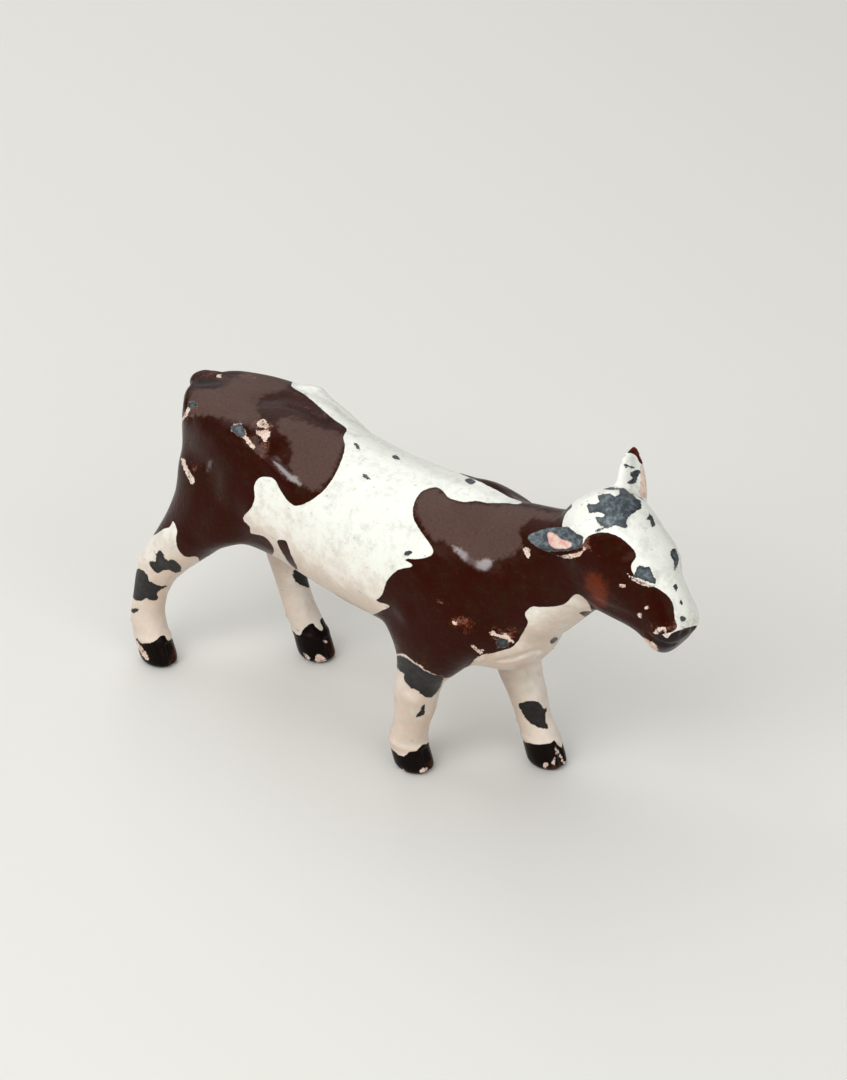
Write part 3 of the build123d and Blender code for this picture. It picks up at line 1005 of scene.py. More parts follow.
@dataclass
class Skin:
    """A mesh as arrays, in millimetres."""

    mesh: bpy.types.Mesh

    @staticmethod
    def read(rows: Any, name: str, width: int, kind: type) -> np.ndarray:
        """Reads the same thing from every vertex or edge.

        Args:
            rows: the vertices, normals or edges.
            name: what is read from each.
            width: how many numbers that is.
            kind: the type of those numbers.

        Returns:
            The numbers, a row for each.
        """
        flat = np.empty(len(rows) * width, kind)
        rows.foreach_get(name, flat)
        return flat.reshape(-1, width)

    def places(self) -> np.ndarray:
        """The vertices' places."""
        return self.read(self.mesh.vertices, "co", 3, np.float32).astype(float) / MM

    def normals(self) -> np.ndarray:
        """The vertices' normals."""
        return self.read(self.mesh.vertex_normals, "vector", 3, np.float32).astype(float)

    def edges(self) -> np.ndarray:
        """The two ends of every edge."""
        return self.read(self.mesh.edges, "vertices", 2, np.int32)

    def move(self, places: np.ndarray) -> None:
        """Puts the vertices somewhere else."""
        self.mesh.vertices.foreach_set("co", (places * MM).astype(np.float32).ravel())
        self.mesh.update()

    def keep(self, name: str, values: np.ndarray) -> None:
        """Keeps a number for every vertex under a name."""
        made = self.mesh.attributes.get(name) or self.mesh.attributes.new(name, "FLOAT", "POINT")
        made.data.foreach_set("value", values.astype(np.float32))

    def averaged(self, values: np.ndarray) -> np.ndarray:
        """The mean of each vertex's neighbours.

        Args:
            values: a number or a row of numbers for every vertex.

        Returns:
            The means, in the same form.
        """
        first, second = self.edges().T
        count = len(values)
        near = np.bincount(first, minlength=count) + np.bincount(second, minlength=count)
        columns = []
        for column in values.reshape(count, -1).T:
            total = np.bincount(first, column[second], count) + np.bincount(second, column[first], count)
            columns.append(total / np.maximum(near, 1))
        return np.stack(columns, 1).reshape(values.shape)

    def tree(self) -> BVHTree:
        """A tree for finding places on the surface, in millimetres."""
        polygons = [tuple(face.vertices) for face in self.mesh.polygons]
        return BVHTree.FromPolygons([Vector(place) for place in self.places()], polygons)


@dataclass
class Casting:
    """The whole animal, cast in one piece. Its lengths are in millimetres, but for weld in metres."""

    frame: dict[str, Any]
    view: Viewpoint
    weld: float = 1e-7
    grain: float = 0.19
    passes: int = 34
    body_softness: float = 0.9
    head_softness: float = 0.16
    ear_softness: float = 0.05
    hoof_softness: float = 0.05
    tail_softness: float = 0.12
    shank_softness: float = 0.12
    shank_top: float = 6.0
    thigh_bottom: float = 10.5
    trace_step: float = 5.0
    cleft_radius: float = 0.42
    cleft_depth: float = -0.26
    cleft_low: float = 0.1
    cleft_high: float = 1.9
    cleft_lean: float = 0.5
    claw_radius: float = 0.5
    claw_rise: float = 0.2
    claw_height: float = 3.1
    claw_out: float = 0.55
    claw_ahead: float = 0.4
    lock_shares: tuple[float, ...] = (0.25, 0.5, 0.75)
    lock_steps: int = 6
    lock_fall: float = 0.8
    lock_sway: float = 0.14
    lock_foot: float = 0.6
    lock_radius: float = 0.32
    lock_depth: float = -0.12
    tail_width: float = 1.9
    tail_gap: float = 0.5
    coronet_height: float = 2.3
    coronet_rise: float = 0.07
    coronet_reach: float = 0.36
    depth_limit: float = 2.0
    broad_edge: tuple[float, float] = (-0.14, 0.06)
    narrow_edge: tuple[float, float] = (0.02, 0.2)
    left_edge: tuple[float, float] = (-0.5, 0.5)
    ridge_passes: int = 3
    grains_per_square_metre: float = 60000.0
    grit_radius: float = 0.055
    grit_spread: tuple[float, float] = (0.45, 1.5)
    grit_height_share: float = 0.45
    grit_seed: int = 11

    def joined(self) -> tuple[bpy.types.Mesh, list[str]]:
        """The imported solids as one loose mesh.

        Returns:
            The mesh, and the name of the solid that each of its faces comes from.
        """
        whole = bmesh.new()
        owners: list[str] = []
        for name, node in sorted(self.frame["nodes"].items()):
            part = bmesh.new()
            part.from_mesh(node.data)
            bmesh.ops.remove_doubles(part, verts=part.verts, dist=self.weld)
            owners += [name] * len(part.faces)
            copy = bpy.data.meshes.new(name + "_copy")
            part.to_mesh(copy)
            part.free()
            whole.from_mesh(copy)
            bpy.data.meshes.remove(copy)
        mesh = bpy.data.meshes.new("loose_members")
        whole.to_mesh(mesh)
        whole.free()
        return mesh, owners

    def owners_of(self, places: np.ndarray, loose: bpy.types.Mesh, owners: list[str]) -> np.ndarray:
        """The member that each place is nearest to."""
        tree = Skin(loose).tree()
        return np.array([owners[tree.find_nearest(Vector(place))[2]] for place in places])

    def fused(self, loose: bpy.types.Mesh) -> bpy.types.Mesh:
        """Lays one closed skin round all the members.

        Args:
            loose: the members, as one loose mesh.

        Returns:
            The skin.
        """
        carrier = add_object("loose_members", loose)
        remesh = carrier.modifiers.new("fuse", "REMESH")
        remesh.mode = "VOXEL"
        remesh.voxel_size = self.grain * MM
        remesh.adaptivity = 0.0
        return settled(carrier)

    def softness(self, places: np.ndarray, owners: np.ndarray) -> np.ndarray:
        """How freely each place flows into its neighbours.

        Args:
            places: the places.
            owners: the member that each belongs to.

        Returns:
            From 0, which stays, to 1, which flows freely.
        """
        free = np.full(len(places), self.body_softness)
        for names, value in (
            (HEAD, self.head_softness),
            (("left_ear", "right_ear"), self.ear_softness),
            (HOOVES, self.hoof_softness),
            (("tail",), self.tail_softness),
        ):
            free[np.isin(owners, names)] = value
        legs = np.isin(owners, LEGS) & ~np.isin(owners, HOOVES)
        up = smooth_rise(places[:, 2], self.shank_top, self.thigh_bottom)
        return np.where(legs, self.shank_softness + (self.body_softness - self.shank_softness) * up, free)

    def softened(self, mesh: bpy.types.Mesh) -> bpy.types.Mesh:
        """Flows the skin's joins together, as a casting's are.

        Args:
            mesh: the skin, which carries how soft each place is.

        Returns:
            The smoother skin.
        """
        tree = ShapeTree("flow_joins", {"Passes": "NodeSocketInt"})
        geometry, count = tree.given
        place = tree.node("GeometryNodeInputPosition")
        weight = tree.node("GeometryNodeInputNamedAttribute", {"data_type": "FLOAT"}, {"Name": "softness"})
        blurred = tree.node(
            "GeometryNodeBlurAttribute",
            {"data_type": "FLOAT_VECTOR"},
            {"Value": place, "Iterations": count, "Weight": weight},
        )
        moved = tree.node("GeometryNodeSetPosition", None, {"Geometry": geometry, "Position": blurred})
        tree.node("NodeGroupOutput", None, {0: moved})
        return tree.run(mesh, {"Passes": self.passes})

    def traced(self, stroke: Stroke, tree: BVHTree) -> list[np.ndarray]:
        """Follows a stroke's pixels on the skin.

        Args:
            stroke: the stroke.
            tree: the skin's search tree.

        Returns:
            The places where they meet the skin.
        """
        pixels = [np.array(stroke.line[0], float)]
        for start, end in zip(stroke.line, stroke.line[1:]):
            first, last = np.array(start, float), np.array(end, float)
            steps = max(1, int(np.linalg.norm(last - first) / self.trace_step))
            pixels += [first + (last - first) * step / steps for step in range(1, steps + 1)]
        eye = Vector(self.view.eye)
        hits = [tree.ray_cast(eye, Vector(self.view.ray(tuple(pixel))))[0] for pixel in pixels]
        return [np.array(hit) for hit in hits if hit is not None]

    def strokes_on(self, tree: BVHTree) -> Iterable[tuple[list[np.ndarray], float, float]]:
        """Every stroke as a line of places on the skin, with its radius and height.

        Args:
            tree: the skin's search tree.

        Returns:
            The lines, those of both sides and the ones that the hooves and tail have.
        """
        for stroke in STROKES:
            line = self.traced(stroke, tree)
            if not line:
                LOG.warning("a stroke at %s misses the skin", stroke.line[0])
                continue
            yield line, stroke.radius, stroke.height
            if stroke.both_sides:
                other = [tree.find_nearest(Vector(place * (1, -1, 1)))[0] for place in line]
                yield [np.array(place) for place in other], stroke.radius, stroke.height
        for name in HOOVES:
            low, high = (np.array(corner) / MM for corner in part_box(name))
            middle = (low[1] + high[1]) / 2
            toe, heel = high[0], low[0]
            foot = np.array((toe, middle, self.cleft_low))
            top = np.array((toe - self.cleft_lean, middle, self.cleft_high))
            yield [foot, top], self.cleft_radius, self.cleft_depth
            for side in (-self.claw_out, self.claw_out):
                place = Vector((heel - self.claw_ahead, middle + side, self.claw_height))
                yield [np.array(tree.find_nearest(place)[0])], self.claw_radius, self.claw_rise
        low, _ = (np.array(corner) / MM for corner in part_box("tail"))
        for share in self.lock_shares:
            lock = []
            for step in range(self.lock_steps):
                across = low[1] + share * self.tail_width + step * self.lock_sway
                up = low[2] + self.lock_foot + step * self.lock_fall
                place = Vector((low[0] - self.tail_gap, across, up))
                lock.append(np.array(tree.find_nearest(place)[0]))
            yield lock, self.lock_radius, self.lock_depth

    def sculpt(self, skin: Skin, owners: np.ndarray) -> None:
        """Works the anatomy into the skin.

        Args:
            skin: the skin, whose vertices are moved.
            owners: the member that each vertex belongs to.
        """
        places, normals = skin.places(), skin.normals()
        lift = np.zeros(len(places))
        for line, radius, height in self.strokes_on(skin.tree()):
            low, high = np.min(line, 0) - radius, np.max(line, 0) + radius
            near = np.flatnonzero(np.all((places > low) & (places < high), axis=1))
            if not len(near):
                continue
            gap = np.full(len(near), np.inf)
            for start, end in zip(line, line[1:] or line):
                gap = np.minimum(gap, segment_gap(places[near], start, end))
            lift[near] += height * np.clip(1 - (gap / radius) ** 2, 0, 1) ** 2
        foot = np.isin(owners, LEGS)
        ring = np.clip(1 - ((places[:, 2] - self.coronet_height) / self.coronet_reach) ** 2, 0, 1) ** 2
        lift += np.where(foot, self.coronet_rise * ring, 0)
        places += normals * lift[:, None]
        places[:, 2] = np.maximum(places[:, 2], 0)
        skin.move(places)

    def lay_paint(self, skin: Skin, owners: np.ndarray) -> None:
        """Keeps on the skin how far inside each layer of paint every vertex lies.

        Args:
            skin: the skin, which gets an attribute for each layer and one for its ridges.
            owners: the member that each vertex belongs to.
        """
        places, normals = skin.places(), skin.normals()
        toward = self.view.eye - places
        facing = np.einsum("ij,ij->i", normals, toward / np.linalg.norm(toward, axis=1)[:, None])
        broad = smooth_rise(facing, *self.broad_edge)
        narrow = smooth_rise(facing, *self.narrow_edge)
        left = smooth_rise(places[:, 1], *self.left_edge)
        drawn = {
            View.PHOTO: (self.view.pixels(places), 1 / self.view.pixels_per_mm),
            View.LEFT: (places[:, [0, 2]], 1.0),
            View.ROUND: (places[:, [0, 2]], 1.0),
        }
        for paint in Paint:
            seen = broad if paint in (Paint.CHESTNUT, Paint.BLACK, Paint.BLOOM) else narrow
            depth = {view: np.full(len(places), -self.depth_limit) for view in View}
            for marks in MARKS:
                if marks.paint is not paint:
                    continue
                inside = np.flatnonzero(np.isin(owners, marks.members))
                at, scale = drawn[marks.view]
                found = np.clip(marks.depth(at[inside]) * scale, -self.depth_limit, self.depth_limit)
                depth[marks.view][inside] = np.maximum(depth[marks.view][inside], found)
            hidden = left * depth[View.LEFT] + (1 - left) * depth[View.PHOTO]
            hidden = np.maximum(hidden, depth[View.ROUND])
            skin.keep(paint.value, seen * depth[View.PHOTO] + (1 - seen) * hidden)
        bend = skin.places() - skin.averaged(skin.places())
        ridge = np.einsum("ij,ij->i", bend, normals) / self.grain**2
        for _ in range(self.ridge_passes):
            ridge = skin.averaged(ridge)
        skin.keep("ridge", ridge)

    def build(self, material: bpy.types.Material) -> bpy.types.Object:
        """Makes the skin from the members and paints it.

        Args:
            material: the paint.

        Returns:
            The skin's object.
        """
        loose, owners = self.joined()
        rough = self.fused(loose.copy())
        skin = Skin(rough)
        skin.keep("softness", self.softness(skin.places(), self.owners_of(skin.places(), loose, owners)))
        mesh = self.softened(rough)
        mesh.name = "calf_casting"
        skin = Skin(mesh)
        members = self.owners_of(skin.places(), loose, owners)
        self.sculpt(skin, members)
        self.lay_paint(skin, members)
        mesh.attributes.remove(mesh.attributes["softness"])
        mesh.polygons.foreach_set("use_smooth", np.ones(len(mesh.polygons), bool))
        mesh.materials.clear()
        mesh.materials.append(material)
        casting = add_object("calf_casting", mesh)
        LOG.info("calf_casting: %d faces", len(mesh.polygons))
        return casting

    def grit(self, casting: bpy.types.Object, material: bpy.types.Material) -> bpy.types.Object:
        """Scatters the grains that the enamel dried over.

        Args:
            casting: the skin that they lie on.
            material: the paint, which takes its layers from the skin under each grain.

        Returns:
            The grains' object.
        """
        inputs = {
            "Grains per square metre": "NodeSocketFloat",
            "Grain radius": "NodeSocketFloat",
            "Seed": "NodeSocketInt",
        }
        tree = ShapeTree("grit_under_paint", inputs)
        geometry, density, radius, start = tree.given
        values = {"Mesh": geometry, "Density": density, "Seed": start}
        points = tree.node("GeometryNodeDistributePointsOnFaces", {"distribute_method": "RANDOM"}, values)
        turn = Wire(tree, points.socket.node.outputs["Rotation"])
        grain = tree.node("GeometryNodeMeshIcoSphere", None, {"Radius": 1.0, "Subdivisions": 2})
        values = {2: self.grit_spread[0], 3: self.grit_spread[1], "Seed": start}
        spread = tree.node("FunctionNodeRandomValue", {"data_type": "FLOAT"}, values, 1)
        across = spread * radius
        values = {0: across, 1: across, 2: across * self.grit_height_share}
        scale = tree.node("ShaderNodeCombineXYZ", None, values)
        values = {"Points": points, "Instance": grain, "Rotation": turn, "Scale": scale}
        placed = tree.node("GeometryNodeInstanceOnPoints", None, values)
        real = tree.node("GeometryNodeRealizeInstances", None, {"Geometry": placed})
        shaded = tree.node("GeometryNodeSetShadeSmooth", None, {"Geometry": real})
        dressed = tree.node("GeometryNodeSetMaterial", None, {"Geometry": shaded, "Material": material})
        tree.node("NodeGroupOutput", None, {0: dressed})
        values = {
            "Grains per square metre": self.grains_per_square_metre,
            "Grain radius": self.grit_radius * MM,
            "Seed": self.grit_seed,
        }
        mesh = tree.run(casting.data, values)
        LOG.info("paint_grit: %d faces", len(mesh.polygons))
        return add_object("paint_grit", mesh)


# The paintwork


@dataclass
class Grounds:
    """What a veil may be moved by: noises, the height above the floor and how far the skin faces up."""

    cloud: Wire
    mottle: Wire
    fine: Wire
    scratch: Wire
    blotch: Wire
    height: Wire
    fall: Wire


@dataclass
class Layers:
    """How much of each layer shows, from 0 to 1, and how deep inside a chip of lead the skin lies."""

    chestnut: Wire
    black: Wire
    primer: Wire
    lead: Wire
    flesh: Wire
    bloom_and_sheen: Wire
    rubbed: Wire
    amber: Wire
    gloss: Wire
    lead_depth: Wire


@dataclass(frozen=True)
class Paintwork:
    """The one material of the figure: lead, primer and three enamels, laid on by the skin's marks.

    A Grain sets a noise, a Wear the edge of a layer and a Veil how a colour is clouded. The heights and
    depths of the relief are in millimetres.
    """

    finishes: Finishes = Finishes()

    smear: Grain = Grain(0.6)
    cloud: Grain = Grain(0.75, 5.0, 0.62)
    mottle: Grain = Grain(2.1, 4.0, 0.6)
    fine: Grain = Grain(5.0, 3.0, 0.6)
    scratch: Grain = Grain(3.2, 2.0, 0.5)
    scratch_stretch: tuple[float, float, float] = (0.55, 1.0, 1.7)
    blotch: Grain = Grain(1.1, 4.0)
    wander: Grain = Grain(1.7, 4.0, 0.6)
    crumb: Grain = Grain(6.5, 3.0, 0.65)
    patchy: Grain = Grain(0.8, 3.0, 0.6)
    pits: Grain = Grain(0.9, 5.0, 0.72)
    dent: Grain = Grain(2.4, 2.0)
    orange_peel: Grain = Grain(8.0, 2.0)

    chestnut_wear: Wear = Wear(-0.025, 0.025, 0.11, 0.07)
    black_wear: Wear = Wear(-0.025, 0.025, 0.176, 0.112)
    lead_wear: Wear = Wear(-0.025, 0.025, 0.3, 0.26)
    nick_wear: Wear = Wear(0.74, 0.75, 0.0, 0.3)
    ring_wear: Wear = Wear(0.0, 0.06, 0.3, 0.56, 0.75)
    ridge_wear: Wear = Wear(1.0, 1.25, 1.4, 0.8)
    primer_wear: Wear = Wear(-0.005, 0.045, 0.36, 0.312)
    scuff_fade: Wear = Wear(-0.75, -0.15, 0.0, 3.2, 2.0)
    flesh_wear: Wear = Wear(-0.04, 0.08, 0.21, 0.182)
    bloom_and_sheen_wear: Wear = Wear(-0.14, 0.3, 1.1, 0.2)
    rubbed_wear: Wear = Wear(0.178, 0.889, 2.889, 2.222)
    amber_wear: Wear = Wear(-0.2, 0.65, 1.7, 0.5)
    gloss_wear: Wear = Wear(-0.12, 0.2, 0.5, 0.4)

    # painted warm shade: rosier low down and where the skin faces down
    warm_shade: Veil = Veil(-0.6, 0.4, 0.85, cloud=1.3, height=-0.05, fall=-0.7)
    shade: Veil = Veil(-0.1, 0.65, 0.75, cloud=0.8, height=-0.03, fall=-1.3)
    greying: Veil = Veil(0.56, 0.78, 0.7, cloud=0.6, mottle=0.4, fine=0.2)
    flecks: Veil = Veil(0.975, 1.045, 0.55, cloud=0.35, fine=0.2, scratch=1.0)
    stain: Veil = Veil(0.81, 0.93, 0.25, fine=0.3, blotch=1.0)
    metal_cloud: Veil = Veil(0.65, 0.93, mottle=1.0, fine=0.5)
    thin_metal: Veil = Veil(-0.07, 0.35, 0.55, fine=0.7, also=-1.0)
    # painted shade: the lead darkens towards the floor
    shaded_low_metal: Veil = Veil(-2.0, -1.0, 0.92, height=-0.1)
    primer_cloud: Veil = Veil(0.42, 0.62, 0.7, mottle=1.0)
    flesh_cloud: Veil = Veil(0.4, 0.6, mottle=1.0)
    olive: Veil = Veil(0.72, 0.94, 0.85, cloud=1.0, mottle=0.6)
    streaks: Veil = Veil(0.56, 0.72, 0.35, cloud=0.5, scratch=0.5)
    specks: Veil = Veil(0.895, 0.955, 0.5, fine=1.0, scratch=0.35)
    high_black: Veil = Veil(0.4, 1.4, 0.4, height=0.09)
    grease: Veil = Veil(0.35, 0.75, 0.8, mottle=0.6, also=1.0)
    # darker in the skin's hollows and creases
    hollows: Veil = Veil(0.6, 1.75, 0.45, mottle=0.5, also=-1.0)
    bloom_and_sheen_least: float = 0.4
    rubbed_share: float = 0.6
    warm_hoof_share: float = 0.7

    enamel_step: float = 0.03
    black_step: float = 0.025
    primer_depth: float = 0.03
    lead_depth: float = 0.05
    smear_height: float = 0.05
    dent_height: float = 0.022
    peel_height: float = 0.005
    bump_strength: float = 0.85

    def material(self) -> bpy.types.Material:
        """Builds the material.

        Returns:
            The material.
        """
        made = bpy.data.materials.new("worn_calf_paint")
        tree = PaintTree(made)
        own = tree.node("ShaderNodeTexCoord", output="Object")
        place = tree.node("ShaderNodeVectorMath", {"operation": "SCALE"}, {0: own, "Scale": 1 / MM})
        ridge = tree.attribute("ridge")
        layers = self.layers(tree, place, ridge)
        pale, deep = self.colours(tree, self.grounds(tree, place), ridge, layers)
        smear = tree.noise(place, self.smear)
        relief = self.relief(tree, place, layers, smear)

        kit = self.finishes
        uneven = smear - 0.5
        kinds = (kit.primer, kit.lead, kit.primer)
        masks = (layers.primer, layers.lead, layers.flesh)
        rough = self.blended(kit.cream.roughness, masks, [kind.roughness for kind in kinds])
        coat = self.blended(kit.cream.coat, masks, [kind.coat for kind in kinds])
        light = tree.node(
            "ShaderNodeBsdfPrincipled",
            None,
            {
                "Base Color": pale,
                "Roughness": rough + uneven * kit.pale_uneven,
                "Metallic": layers.lead * (1 - layers.flesh) * kit.metal_share,
                "Coat Weight": coat,
                "Coat Roughness": kit.coat_roughness,
                "Normal": relief,
            },
        )
        dull = self.blended(kit.chestnut.roughness, [layers.bloom_and_sheen], [kit.bloom_and_sheen_roughness])
        dark = tree.node(
            "ShaderNodeBsdfPrincipled",
            None,
            {
                "Base Color": deep,
                "Roughness": dull + uneven * kit.dark_uneven,
                "Specular IOR Level": kit.dark_glint,
                "Specular Tint": kit.warm_glint,
                "Coat Weight": layers.gloss,
                "Coat Roughness": kit.gloss_roughness,
                "Coat IOR": kit.gloss_ior,
                "Normal": relief,
            },
        )
        over = layers.primer.larger(layers.lead).larger(layers.flesh)
        shown = layers.chestnut.larger(layers.black) * (1 - over)
        both = tree.node("ShaderNodeMixShader", None, {0: shown, 1: light, 2: dark})
        tree.node("ShaderNodeOutputMaterial", None, {0: both})
        return made

    def layers(self, tree: PaintTree, place: Wire, ridge: Wire) -> Layers:
        """Turns the distances kept on the skin into layers with ragged edges.

        Args:
            tree: the material's tree.
            place: the place on the figure, in millimetres.
            ridge: how sharply the skin bends outwards.

        Returns:
            The layers.
        """
        deep = {paint: tree.attribute(paint.value) for paint in Paint}
        wander = tree.noise(place, self.wander) - 0.5
        crumb = tree.noise(place, self.crumb) - 0.5
        patchy = tree.noise(place, self.patchy) - 0.5

        def ragged(depth: Number, wear: Wear) -> Wire:
            """A layer, from how deep inside its outline the skin lies."""
            terms = ((1.0, depth), (wear.wander, wander), (wear.crumb, crumb), (wear.patchy, patchy))
            return weighed(terms).step(wear.start, wear.end)

        chestnut = ragged(deep[Paint.CHESTNUT], self.chestnut_wear)
        black = ragged(deep[Paint.BLACK], self.black_wear)
        nick = ragged(tree.noise(place, self.pits), self.nick_wear)
        lead = ragged(deep[Paint.LEAD], self.lead_wear).larger(nick)
        ring = ragged(deep[Paint.LEAD], self.ring_wear) * (chestnut + black).smaller(1.0)
        scuff = ragged(deep[Paint.PRIMER], self.primer_wear) * ragged(0.0, self.scuff_fade)
        return Layers(
            chestnut=chestnut,
            black=black,
            primer=scuff.larger(ring).larger(ragged(ridge, self.ridge_wear)) * (1 - lead),
            lead=lead,
            flesh=ragged(deep[Paint.FLESH], self.flesh_wear),
            bloom_and_sheen=ragged(deep[Paint.BLOOM], self.bloom_and_sheen_wear),
            rubbed=ragged(deep[Paint.RUBBED], self.rubbed_wear),
            amber=ragged(deep[Paint.AMBER], self.amber_wear),
            gloss=ragged(deep[Paint.GLOSS], self.gloss_wear),
            lead_depth=deep[Paint.LEAD],
        )

    @staticmethod
    def blended(base: float, masks: Sequence[Wire], levels: Sequence[float]) -> Wire:
        """A number that each mask in turn pulls to its own level.

        Args:
            base: the number under all the masks.
            masks: how much of each layer shows.
            levels: the number of each layer.

        Returns:
            The number that results.
        """
        result: Number = base
        for mask, level in zip(masks, levels):
            result = mask * (level - result) + result
        return result

    def relief(self, tree: PaintTree, place: Wire, layers: Layers, smear: Wire) -> Wire:
        """The steps between layers, brush marks and the casting's own skin.

        Args:
            tree: the material's tree.
            place: the place on the figure, in millimetres.
            layers: the layers.
            smear: the broad noise of uneven paint.

        Returns:
            The normal.
        """
        laid = layers.chestnut * self.enamel_step + layers.black * self.black_step
        gone = layers.primer * self.primer_depth + layers.lead * self.lead_depth
        dents = tree.noise(place, self.dent) * self.dent_height
        peel = tree.noise(place, self.orange_peel) * self.peel_height
        height = laid - gone + smear * self.smear_height + dents + peel
        values = {"Strength": self.bump_strength, "Distance": MM, "Height": height}
        return tree.node("ShaderNodeBump", None, values, "Normal")

    def grounds(self, tree: PaintTree, place: Wire) -> Grounds:
        """Makes what the veils are moved by.

        Args:
            tree: the material's tree.
            place: the place on the figure, in millimetres.

        Returns:
            The noises, the height above the floor and how far the skin faces up.
        """
        values = {0: place, 1: self.scratch_stretch}
        longways = tree.node("ShaderNodeVectorMath", {"operation": "MULTIPLY"}, values)
        return Grounds(
            cloud=tree.noise(place, self.cloud),
            mottle=tree.noise(place, self.mottle),
            fine=tree.noise(place, self.fine),
            scratch=tree.noise(longways, self.scratch),
            blotch=tree.noise(place, self.blotch),
            height=tree.along(2, place),
            fall=tree.along(2, tree.node("ShaderNodeNewGeometry", output="Normal")),
        )

    @staticmethod
    def veiled(veil: Veil, grounds: Grounds, also: Number = 0.0) -> Wire:
        """How much of a veil shows.

        Args:
            veil: the veil.
            grounds: what it may be moved by.
            also: one thing more that moves this veil.

        Returns:
            From 0 to the veil's share.
        """
        terms = (
            (veil.cloud, grounds.cloud),
            (veil.mottle, grounds.mottle),
            (veil.fine, grounds.fine),
            (veil.scratch, grounds.scratch),
            (veil.blotch, grounds.blotch),
            (veil.height, grounds.height),
            (veil.fall, grounds.fall),
            (veil.also, also),
        )
        return weighed(terms).step(veil.start, veil.end) * veil.share

    def colours(self, tree: PaintTree, grounds: Grounds, ridge: Wire, layers: Layers) -> tuple[Wire, Wire]:
        """The colours of the paint.

        Args:
            tree: the material's tree.
            grounds: what the veils are moved by.
            ridge: how sharply the skin bends outwards.
            layers: the layers.

        Returns:
            The colour of the pale layers, and that of the dark enamels.
        """
        kit = self.finishes
        pale = self.pale_colours(tree, grounds, layers)

        deep = tree.colour(self.veiled(self.olive, grounds), kit.chestnut.colour, kit.chestnut.cloud)
        warm = layers.amber.larger(self.veiled(self.streaks, grounds))
        deep = tree.colour(warm, deep, kit.worn_chestnut)
        # painted sheen, partly dusty bloom: the chestnut turns grey-brown where its upper faces would
        # catch the light
        dust_and_sheen = layers.bloom_and_sheen * (grounds.fine * (1 - self.bloom_and_sheen_least) + self.bloom_and_sheen_least)
        deep = tree.colour(dust_and_sheen, deep, kit.bloom_and_sheen)
        deep = tree.colour(layers.rubbed * self.rubbed_share, deep, kit.rubbed)
        deep = tree.colour(self.veiled(self.specks, grounds), deep, kit.rust)
        greasy = self.veiled(self.grease, grounds, self.veiled(self.high_black, grounds))
        ink = tree.colour(greasy, kit.black.colour, kit.black.cloud)
        ink = tree.colour(layers.amber * self.warm_hoof_share, ink, kit.worn_black)
        deep = tree.colour(layers.black, deep, ink)

        # darkens the skin in its hollows and creases
        sunk = self.veiled(self.hollows, grounds, ridge)
        return (
            tree.colour(sunk, pale, kit.hollow_dark, "MULTIPLY"),
            tree.colour(sunk, deep, kit.hollow_dark, "MULTIPLY"),
        )

    def pale_colours(self, tree: PaintTree, grounds: Grounds, layers: Layers) -> Wire:
        """The colour of the cream, and of the primer, lead and flesh pink where they show.

        Args:
            tree: the material's tree.
            grounds: what the veils are moved by.
            layers: the layers.

        Returns:
            The colour.
        """
        kit = self.finishes
        cream: Any = kit.cream.colour
        # warm_shade and shade are painted shade, on the lower and downward faces
        for veil, colour in (
            (self.warm_shade, kit.rosy_shade),
            (self.shade, kit.dun),
            (self.greying, kit.cream.cloud),
            (self.flecks, kit.fleck),
            (self.stain, kit.rust),
        ):
            cream = tree.colour(self.veiled(veil, grounds), cream, colour)
        metal = tree.colour(self.veiled(self.metal_cloud, grounds), kit.lead.colour, kit.lead.cloud)
        metal = tree.colour(self.veiled(self.thin_metal, grounds, layers.lead_depth), metal, kit.tarnish_and_shade)
        # painted shade: lead chips darken towards the floor
        metal = tree.colour(self.veiled(self.shaded_low_metal, grounds), metal, kit.tarnish_and_shade)
        base = tree.colour(self.veiled(self.primer_cloud, grounds), kit.primer.colour, kit.primer.cloud)
        skin = tree.colour(self.veiled(self.flesh_cloud, grounds), kit.flesh, kit.primer.colour)
        pale = tree.colour(layers.primer, cream, base)
        pale = tree.colour(layers.lead, pale, metal)
        return tree.colour(layers.flesh, pale, skin)


# The studio


@dataclass(frozen=True)
class Lamp:
    """A soft square lamp that looks at the figure from a direction, in metres and watts."""

    name: str
    toward: tuple[float, float, float]
    away: float
    size: float
    power: float


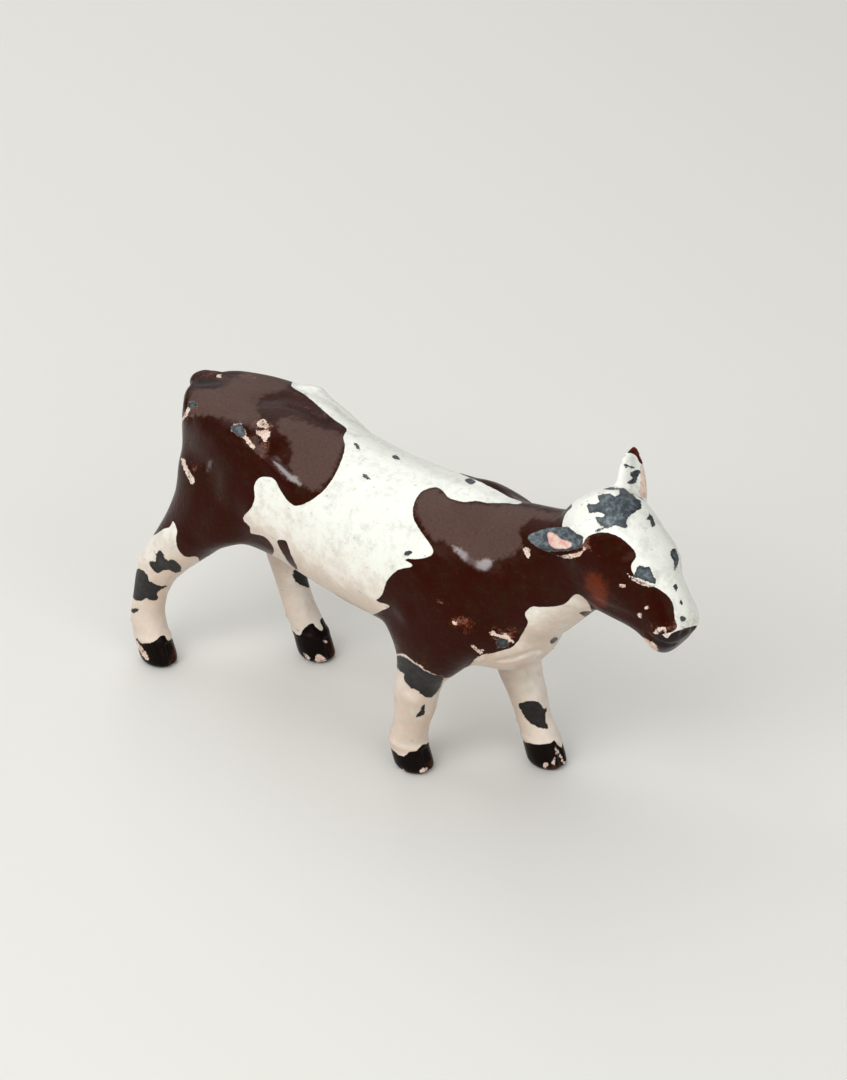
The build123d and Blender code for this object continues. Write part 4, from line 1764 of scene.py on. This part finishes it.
@dataclass(frozen=True)
class Studio:
    """A pale floor and soft light, in metres."""

    lamps: tuple[Lamp, ...] = (
        Lamp("overhead_softbox", (-0.55, 0.18, 0.78), 0.36, 0.46, 0.80),
        Lamp("near_window", (0.14, -0.70, 0.70), 0.42, 0.24, 0.75),
        Lamp("side_window", (-0.28, -0.87, 0.40), 0.42, 0.15, 0.28),
        Lamp("front_fill", (0.84, -0.30, 0.45), 0.40, 0.30, 0.45),
    )
    ambient: float = 0.3
    floor_colour: Colour = from_srgb(226, 225, 220)
    floor_roughness: float = 0.85
    floor_glint: float = 0.2
    floor_reach: float = 1.5
    middle: tuple[float, float, float] = (0.0, 0.0, 0.012)

    def build(self) -> None:
        """Sets the floor, the world and the lamps."""
        self.floor()
        world = bpy.data.worlds.new("studio")
        tree = PaintTree(world)
        values = {"Color": (1.0, 1.0, 1.0, 1.0), "Strength": self.ambient}
        sky = tree.node("ShaderNodeBackground", None, values)
        tree.node("ShaderNodeOutputWorld", None, {0: sky})
        bpy.context.scene.world = world
        for lamp in self.lamps:
            data = bpy.data.lights.new(lamp.name, "AREA")
            data.shape = "SQUARE"
            data.size = lamp.size
            data.energy = lamp.power
            made = add_object(lamp.name, data)
            toward = Vector(lamp.toward).normalized()
            made.location = Vector(self.middle) + toward * lamp.away
            made.rotation_euler = toward.to_track_quat("Z", "Y").to_euler()
        bpy.context.scene.view_settings.view_transform = "Standard"

    def floor(self) -> None:
        """The pale floor that the figure stands on."""
        reach = self.floor_reach
        corners = [(-reach, -reach, 0), (reach, -reach, 0), (reach, reach, 0), (-reach, reach, 0)]
        mesh = bpy.data.meshes.new("floor")
        mesh.from_pydata(corners, [], [(0, 1, 2, 3)])
        material = bpy.data.materials.new("pale_floor")
        tree = PaintTree(material)
        values = {
            "Base Color": self.floor_colour,
            "Roughness": self.floor_roughness,
            "Specular IOR Level": self.floor_glint,
        }
        shader = tree.node("ShaderNodeBsdfPrincipled", None, values)
        tree.node("ShaderNodeOutputMaterial", None, {0: shader})
        mesh.materials.append(material)
        floor = add_object("floor", mesh)


def main() -> None:
    """Builds the camera, the figure and the studio."""
    logging.basicConfig(level=logging.INFO, format="%(name)s %(message)s")
    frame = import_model()
    view = Viewpoint()
    view.build()
    paint = Paintwork().material()
    calf = Casting(frame, view)
    casting = calf.build(paint)
    grit = calf.grit(casting, paint)
    for piece in (casting, grit):
        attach(piece, "root")
    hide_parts(*sorted(frame["nodes"]))
    Studio().build()


if __name__ == "__main__":
    main()
